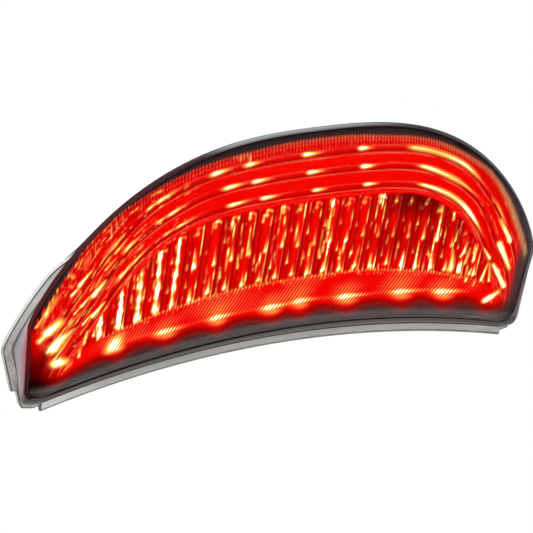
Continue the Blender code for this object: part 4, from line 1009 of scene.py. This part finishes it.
# ---------------------------------------------------------------- lens
def build_lens():
    """Face, rim, wall and lip as one closed skin of rings, from the middle of the
    face outwards, back round the lip and in along the inner skin."""
    FACE, RIM_EDGE, WALL, LIP, CUT, SKIN, BACK = range(7)
    rim, full = rim_ring(), flange_ring()
    rim_x, rim_up = rim.T
    under = np.zeros(COUNT)
    under[COLUMNS:] = 1.0
    upper = 1.0 - under
    low_side = np.maximum(under, ramp(-rim_up, 24.0, 31.0))
    left = ramp(-rim_x, 40.0, 75.0) * upper
    # painted highlight: a pale grey streak along the top of the rim, over the middle
    gleam = ramp(rim_x, -46.0, -30.0) * ramp(rim_x, 44.0, 8.0) * upper

    rings, zones = [], []       # a zone is the slot of the faces that follow a ring
    looks = {name: [] for name in ("border", "depth", "edge", "low", "painted_gleam")}

    def add(points, zone, border=0.0, depth=0.0, edge=0.0, low=0.0, painted_gleam=0.0):
        rings.append(points)
        zones.append(zone)
        for name, value in (("border", border), ("depth", depth), ("edge", edge),
                            ("low", low), ("painted_gleam", gleam * painted_gleam)):
            looks[name].append(np.broadcast_to(value, COUNT))

    for share in (0.30, 0.5, 0.66, 0.78, 0.86):
        ring = towards_middle(rim, share).T
        add(face_points(*ring, crown(*ring)), FACE)
    # inset from the rim, zone, border and painted gleam
    for inset, zone, border, painted_gleam in (
            (3.4, FACE, 0.0, 0.0), (2.5, FACE, 0.0, 0.0), (1.9, FACE, 0.0, 0.0),
            (1.35, FACE, 0.35 - 0.27 * under - 0.35 * left, 0.0),
            (0.95, RIM_EDGE, 1.0 - 0.72 * under - 0.45 * left, 0.35)):
        ring = rim_ring(inset).T
        add(face_points(*ring, crown(*ring) * min(1.0, inset / 2.4)), zone, border,
            low=under, painted_gleam=painted_gleam)
    # the rounded edge: inset, depth, zone, low and painted gleam
    for inset, depth, zone, low, painted_gleam in (
            (0.5, -0.10, RIM_EDGE, under, 0.8), (0.2, 0.10, RIM_EDGE, under, 1.0),
            (0.04, 0.36, RIM_EDGE, under, 1.0), (0.0, 0.7, WALL, low_side, 0.6)):
        add(face_points(*rim_ring(inset).T, depth), zone, 1.0, low=low, painted_gleam=painted_gleam)

    # the wall runs back to the lip, and bulges sideways low down on both sides
    start, end = rings[-1], on_wall(flange_ring(3.3), FLANGE_Y - 0.5)
    bulge = ramp(-rim_up, 0.0, 12.0) * np.sign(rim_x) * ramp(np.abs(rim_x), 88.0, 97.0)
    for t in (0.08, 0.2, 0.36, 0.54, 0.72, 0.88, 1.0):
        wall = start + (end - start) * t
        wall[:, 0] += 1.5 * math.sin(math.pi * t) * bulge
        zone, edge = (WALL, 0.0) if t < 1.0 else (LIP, 1.0)
        add(wall, zone, border=1.0, depth=t, edge=edge, low=low_side)

    # the lip is drawn in at the two lower corners, where it is cut away
    cut = ((full[:, 1] < -30.6) & (np.abs(full[:, 0]) > 91.8)).astype(float)
    # and it thins out low down on the right
    thin = ramp(full[:, 0], 92.0, 97.0) * ramp(full[:, 1], -8.0, -16.0)
    # inset, y from the flange's front, zone and edge
    for inset, back, zone, edge in (
            (2.95, -0.12, LIP, 0.8), (2.55, 0.0, LIP, 0.0), (0.95, 0.0, LIP, 0.0),
            (0.3, 0.0, CUT, 0.8), (0.0, 0.3, LIP, 0.9), (0.0, 0.75, LIP, 0.0),
            (0.0, FLANGE_T - 0.8, LIP, 0.0), (0.0, FLANGE_T - 0.3, CUT, 0.9),
            (0.3, FLANGE_T, BACK, 0.0)):
        ring = flange_ring(inset)
        ring = ring + (flange_ring(inset + 1.9) - ring) * cut[:, None]
        ring[:, 0] -= 2.0 * thin * max(0.0, 1.0 - inset / 3.0)
        points = on_wall(ring, FLANGE_Y + back)
        points[:, 1] += 0.5 * cut
        add(points, zone, depth=1.0, edge=edge, low=low_side if zone == BACK else 0.0)

    inner_end = on_wall(flange_ring(6.4), FLANGE_BACK_Y)
    inner_start = face_points(*rim_ring(1.05).T, 2.2)
    add(inner_end, SKIN, low=low_side)
    add(inner_end + (inner_start - inner_end) * 0.5, SKIN)
    add(inner_start, SKIN)
    skin = [rim_ring(inset) for inset in (2.2, 3.4)]
    skin += [towards_middle(rim, share * 0.985) for share in (0.86, 0.7, 0.5, 0.30)]
    for ring in skin:
        add(face_points(*ring.T, crown(*ring.T) + SKIN_DEPTH), SKIN)

    hubs = face_points(*FACE_MIDDLE[:, None], np.array([-CROWN, -CROWN + SKIN_DEPTH]))
    verts = np.concatenate(rings + [hubs])
    front_hub, back_hub = len(verts) - 2, len(verts) - 1
    last = front_hub - COUNT
    faces = [(front_hub, (i + 1) % COUNT, i) for i in range(COUNT)]
    faces += looped(rings)
    faces += [(last + i, last + (i + 1) % COUNT, back_hub) for i in range(COUNT)]
    slots = np.repeat([FACE] + zones[:-1] + [SKIN], COUNT).tolist()
    obj = add_mesh("lens_moulding", verts, faces, sharp=38)

    shine = (upper * (0.35 + 0.65 * ramp(rim_up, 20.0, 45.0)) * ramp(rim_up, -4.0, 6.0))
    # painted red glow from the optic on the rim, low on the left and along the upper left
    painted_red_glow = ramp(-rim_x, 96.5, 98.5) * ramp(-rim_up, -6.0, 2.0) * ramp(rim_up, -24.0, -8.0)
    painted_red_glow = np.maximum(painted_red_glow, 0.30 * ramp(-rim_x, 30.0, 70.0) * ramp(rim_up, -2.0, 4.0))
    around = {      # looks that are the same on every ring
        "shine": shine,
        "painted_red_glow": painted_red_glow,
        # painted light: the wall is paler over its upper left
        "light": ramp(-rim_x, 50.0, 80.0) * ramp(rim_up, -4.0, 8.0),
        "shade": ramp(rim_x, -86.0, -62.0) * under,
        "corner": ramp(-full[:, 0], 96.0, 99.5) * ramp(-full[:, 1], 6.0, 16.0),
        "haze": ramp(rim_x, 30.0, 70.0) * upper,
    }
    streaks = looks.pop("painted_gleam")
    looks.update({name: [values] * len(rings) for name, values in around.items()})
    looks["painted_gleam"] = streaks
    for name, parts in looks.items():
        give_attribute(obj, name, np.concatenate(parts + [np.zeros(2)]))
    give_materials(obj, (
        clear_face_material(), rim_edge_material(), wall_material(), lip_material(),
        lip_edge_material("lip_cut_edge", (0.085, 0.082, 0.070), (0.17, 0.165, 0.148)),
        inner_skin_material(), flange_back_material()), slots)
    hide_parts("outer_lens")


def build_lower_lip():
    """The raised strip of the lip under the lens, with square ends."""
    steps, half = 120, 92.3
    LIP, CUT, UNDER, END = range(4)
    # section: (up from the lip's lower line, y from the flange's front, edge, zone)
    section = ((0.95, FLANGE_T - 0.05, 1.0, UNDER), (0.0, 1.5, 1.0, UNDER),
               (-0.02, 0.35, 1.0, UNDER), (0.75, -0.72, 0.7, CUT), (1.0, -0.9, 0.25, LIP),
               (2.2, -0.9, 0.0, LIP), (3.15, -0.86, 0.2, CUT), (3.45, -0.55, 1.0, CUT),
               (3.45, 0.6, 0.6, LIP))
    x = np.linspace(-half, half, steps + 1)
    line = FLANGE_ARCH_Z - flange_sag(x)
    verts = np.concatenate([on_wall(np.stack([x, line + lift], 1), FLANGE_Y + back)
                            for lift, back, _, _ in section])
    row = steps + 1
    faces, slots = [], []
    for k, (_, _, _, zone) in enumerate(section):
        here, there = k * row, (k + 1) % len(section) * row
        for i in range(steps):
            faces.append((here + i, here + i + 1, there + i + 1, there + i))
            slots.append(zone)
    faces.append(tuple(k * row for k in range(len(section))))
    faces.append(tuple(k * row + steps for k in reversed(range(len(section)))))
    slots += [END, END]
    obj = add_mesh("lens_lower_lip", verts, faces, sharp=35)
    give_attribute(obj, "edge", np.repeat([edge for _, _, edge, _ in section], row))
    give_attribute(obj, "shade", np.tile(ramp(x, -86.0, -62.0), len(section)))
    give_materials(obj, (
        lip_material(),
        lip_edge_material("strip_cut_edge", (0.10, 0.097, 0.088), (0.18, 0.176, 0.162)),
        lip_edge_material("strip_under_edge", (0.14, 0.125, 0.09), (0.30, 0.28, 0.22), 0.95),
        lip_edge_material("strip_end", (0.09, 0.075, 0.065), (0.26, 0.24, 0.22), 0.95)), slots)


# ---------------------------------------------------------------- housing and seal
def slim(points):
    """Draws the housing and its seal in slightly, so that they stay out of sight
    behind the lens from the front."""
    out = points.copy()
    x, y, z = points.T
    for side in (-1.0, 1.0):
        reach = np.hypot(x - side * 58.0, z + 6.0)      # from the side bore, left as it is
        kept_clear = ramp(reach, 7.4, 9.6)
        front = ramp(y, -20.0, -12.0)
        out[:, 0] -= side * 2.6 * ramp(side * x, 59.0, 66.0) * kept_clear * front
        out[:, 2] -= 2.2 * ramp(side * x, 52.0, 60.0) * kept_clear * ramp(z, -3.0, 3.0) * front
        out[:, 0] -= side * 1.6 * ramp(side * x, 60.0, 90.0) * ramp(y, -20.0, -30.0)
    return out


def back_ring():
    """Outline of the housing's back, smaller than its mouth."""
    ring = seal_ring(4.1)
    lift = ring[:, 1] + 3.0
    return np.stack([ring[:, 0] * 0.80, -3.0 + lift * np.where(lift > 0.0, 0.58, 0.86)], 1)


def cad_back():
    """Points and faces of the back of the CAD housing, with its pads and bores."""
    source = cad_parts["housing"]
    matrix = np.array(source.matrix_world)
    points = np.empty(len(source.data.vertices) * 3, np.float32)
    source.data.vertices.foreach_get("co", points)
    points = points.reshape(-1, 3).astype(float) @ matrix[:3, :3].T + matrix[:3, 3]
    points = points / MM + ORIGIN
    kept = [tuple(poly.vertices) for poly in source.data.polygons
            if min(points[i, 1] for i in poly.vertices) > -14.5]
    used = sorted({i for face in kept for i in face})
    place = {i: k for k, i in enumerate(used)}
    return points[used], [tuple(place[i] for i in face) for face in kept]


def build_housing():
    """The outside wall of the housing as an even skin, joined to the CAD back."""
    rear, rear_faces = cad_back()
    back = back_ring()
    # the mouth: (inset, y from the housing's front)
    mouth = ((6.8, 3.0), (6.8, 0.0), (4.45, 0.0), (4.1, 0.35), (4.1, 1.3), (4.1, 2.4))
    rings = [on_wall(seal_ring(inset), HOUSING_FRONT_Y + y) for inset, y in mouth]
    start, end = rings[-1], on_wall(back, HOUSING_BACK_Y - 1.2)
    steps = 14
    rings += [start + (end - start) * (k / steps) for k in range(1, steps + 1)]
    centre = np.array([0.0, -3.0])
    rings.append(on_wall(centre + (back - centre) * 0.96, HOUSING_BACK_Y - 0.9))
    skin = np.concatenate(rings)
    faces = looped(rings) + [tuple(i + len(skin) for i in face) for face in rear_faces]
    obj = add_mesh("housing_shell", slim(np.concatenate([skin, rear])), faces, sharp=34)
    obj.data.materials.append(plastic("housing_detail", (0.020, 0.020, 0.022), roughness=0.46,
                                      grain=1300.0, depth=0.00010, vary=0.25))
    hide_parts("housing")


def build_seal():
    """The seal, squeezed between the lip of the lens and the housing."""
    front, back = FLANGE_BACK_Y, HOUSING_FRONT_Y
    # section: (inset, y)
    section = ((7.0, front), (4.5, front), (4.15, front + 0.35), (4.0, front + 0.75),
               (3.95, 0.5 * (front + back)), (4.0, back - 0.75), (4.15, back - 0.3),
               (4.5, back), (7.0, back))
    rings = [on_wall(seal_ring(inset), y) for inset, y in section]
    obj = add_mesh("seal_bead", slim(np.concatenate(rings)), looped(rings, closed=True))
    obj.data.materials.append(rubber("seal_detail"))
    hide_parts("lens_seal")


# ---------------------------------------------------------------- finishes of the CAD pieces
# piece: (material, colour, roughness, grain scale, grain depth in metres, colour variation)
PLASTICS = {
    "vent_cap": ("vent_detail", (0.035, 0.035, 0.037), 0.6, 1000.0, 0.00012, 0.2),
    "harness_sleeve": ("sleeve_detail", (0.022, 0.022, 0.023), 0.5, 600.0, 0.0002, 0.25),
    "resistor_pack": ("package_detail", (0.018, 0.018, 0.019), 0.5, 1500.0, 0.00008, 0.2),
    "connector_body": ("nylon_detail", (0.80, 0.79, 0.74), 0.38, 700.0, 0.00006, 0.05),
    "connector_latch": ("latch_detail", (0.76, 0.75, 0.70), 0.38, 700.0, 0.00006, 0.05),
    "connector_retainer": ("retainer_detail", (0.60, 0.045, 0.03), 0.38, 700.0, 0.00006, 0.12),
    "wire_ground": ("wire_black_detail", (0.016, 0.016, 0.017), 0.42, 900.0, 0.00006, 0.2),
    "wire_running": ("wire_red_detail", (0.46, 0.02, 0.018), 0.42, 900.0, 0.00006, 0.12),
    "wire_brake": ("wire_yellow_detail", (0.62, 0.44, 0.035), 0.42, 900.0, 0.00006, 0.1),
}


def finish_cad_pieces():
    by_name = {"reflector": mirror_tray("mirror_tray_detail"),
               "harness_grommet": rubber("grommet_detail")}
    for name, row in PLASTICS.items():
        by_name[name] = plastic(*row)
    # the first prefix that fits counts, so the boards come before the diodes
    by_prefix = {
        "led_board": circuit_board("board_detail"),
        "led_": diode("diode_detail"),
        "mount_collar": metal("zinc_detail", (0.62, 0.62, 0.64), roughness=0.3),
        "board_screw": metal("screw_detail", (0.55, 0.55, 0.57), roughness=0.28,
                             stretch=(500.0, 500.0, 500.0)),
        "terminal": metal("brass_detail", (0.74, 0.58, 0.30), roughness=0.28),
        "mount_grommet": rubber("mount_rubber_detail"),
    }
    for name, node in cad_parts.items():
        fitting = [material for prefix, material in by_prefix.items() if name.startswith(prefix)]
        finish = by_name.get(name) or (fitting[0] if fitting else None)
        if finish is not None:
            node.data.materials.clear()
            node.data.materials.append(finish)


# ---------------------------------------------------------------- studio, in metres
FLOOR_HALF, FLOOR_Z = 6, -0.165
DIM_SIDE = (-0.30, -0.93, 0.20)     # direction in which reflections see a dimmer world


def build_world():
    """White to the camera; other rays see a grey world, dimmed in front for reflections."""
    world = bpy.data.worlds.new("studio")
    scene.world = world
    sky = Nodes(world, "OutputWorld")
    facing = sky.node("VectorMath", sky.node("TexCoord"), DIM_SIDE, out="Value",
                      settings={"operation": "DOT_PRODUCT"})
    mirrored = sky.span(facing, 0.15, 0.85, low=1.0, high=0.22)
    rays = sky.node("LightPath").node.outputs
    strength = sky.mix(rays["Is Glossy Ray"], 0.86, mirrored, kind="FLOAT")
    grey = sky.node("Background", Strength=strength)
    white = sky.node("Background", Color=(1, 1, 1), Strength=1.0)
    sky.finish(sky.blend(rays["Is Camera Ray"], grey, white))


def build_floor():
    """A pale floor that looks pure white to the camera."""
    mesh = bpy.data.meshes.new("floor")
    corners = ((-1, -1), (1, -1), (1, 1), (-1, 1))
    mesh.from_pydata([(i * FLOOR_HALF, j * FLOOR_HALF, FLOOR_Z) for i, j in corners],
                     [], [(0, 1, 2, 3)])
    floor = bpy.data.objects.new("floor", mesh)
    scene.collection.objects.link(floor)
    mat = new_material("pale_floor")
    tint = mat.mix(mat.noise(scale=3.0, detail=2.0), (0.80, 0.80, 0.80), (0.83, 0.83, 0.83))
    paper = mat.node("BsdfDiffuse", Color=tint)
    glow = mat.node("Emission", Color=(1, 1, 1), Strength=1.0)
    camera_ray = mat.node("LightPath")
    mesh.materials.append(mat.finish(mat.blend(camera_ray, paper, glow)))


def softbox(name, where, size, power):
    data = bpy.data.lights.new(name, "AREA")
    data.shape = "RECTANGLE"
    data.size, data.size_y = size
    data.energy = power
    obj = bpy.data.objects.new(name, data)
    obj.location = where
    aim = Vector((0.0, -0.05, 0.0)) - Vector(where)
    obj.rotation_euler = aim.to_track_quat("-Z", "Y").to_euler()
    scene.collection.objects.link(obj)


def build_camera():
    data = bpy.data.cameras.new("camera")
    data.lens = 187.997
    data.sensor_width = 36.0
    data.clip_start, data.clip_end = 0.05, 50.0
    camera = bpy.data.objects.new("camera", data)
    # the camera's right, up and back directions, and its place
    camera.matrix_world = Matrix((
        (0.87647191, -0.48130208, -0.01205423, 0.0),
        (0.12978102, 0.21207833, 0.96859675, 0.0),
        (-0.46363100, -0.85051200, 0.24834500, 0.0),
        (-0.45541008, -0.86991002, 0.24213733 - ORIGIN[2] * MM, 1.0),
    )).transposed()
    scene.collection.objects.link(camera)
    scene.camera = camera


build_optic()
build_lens()
build_lower_lip()
build_housing()
build_seal()
finish_cad_pieces()
build_world()
build_floor()
softbox("softbox_top", where=(0.05, -0.15, 0.9), size=(0.9, 0.5), power=3.2)
softbox("softbox_side", where=(-0.9, -0.2, 0.35), size=(0.5, 0.7), power=1.6)
build_camera()
scene.view_settings.view_transform = "Standard"
scene.view_settings.look = "None"
scene.view_settings.exposure = 0.0
scene.view_settings.gamma = 1.0
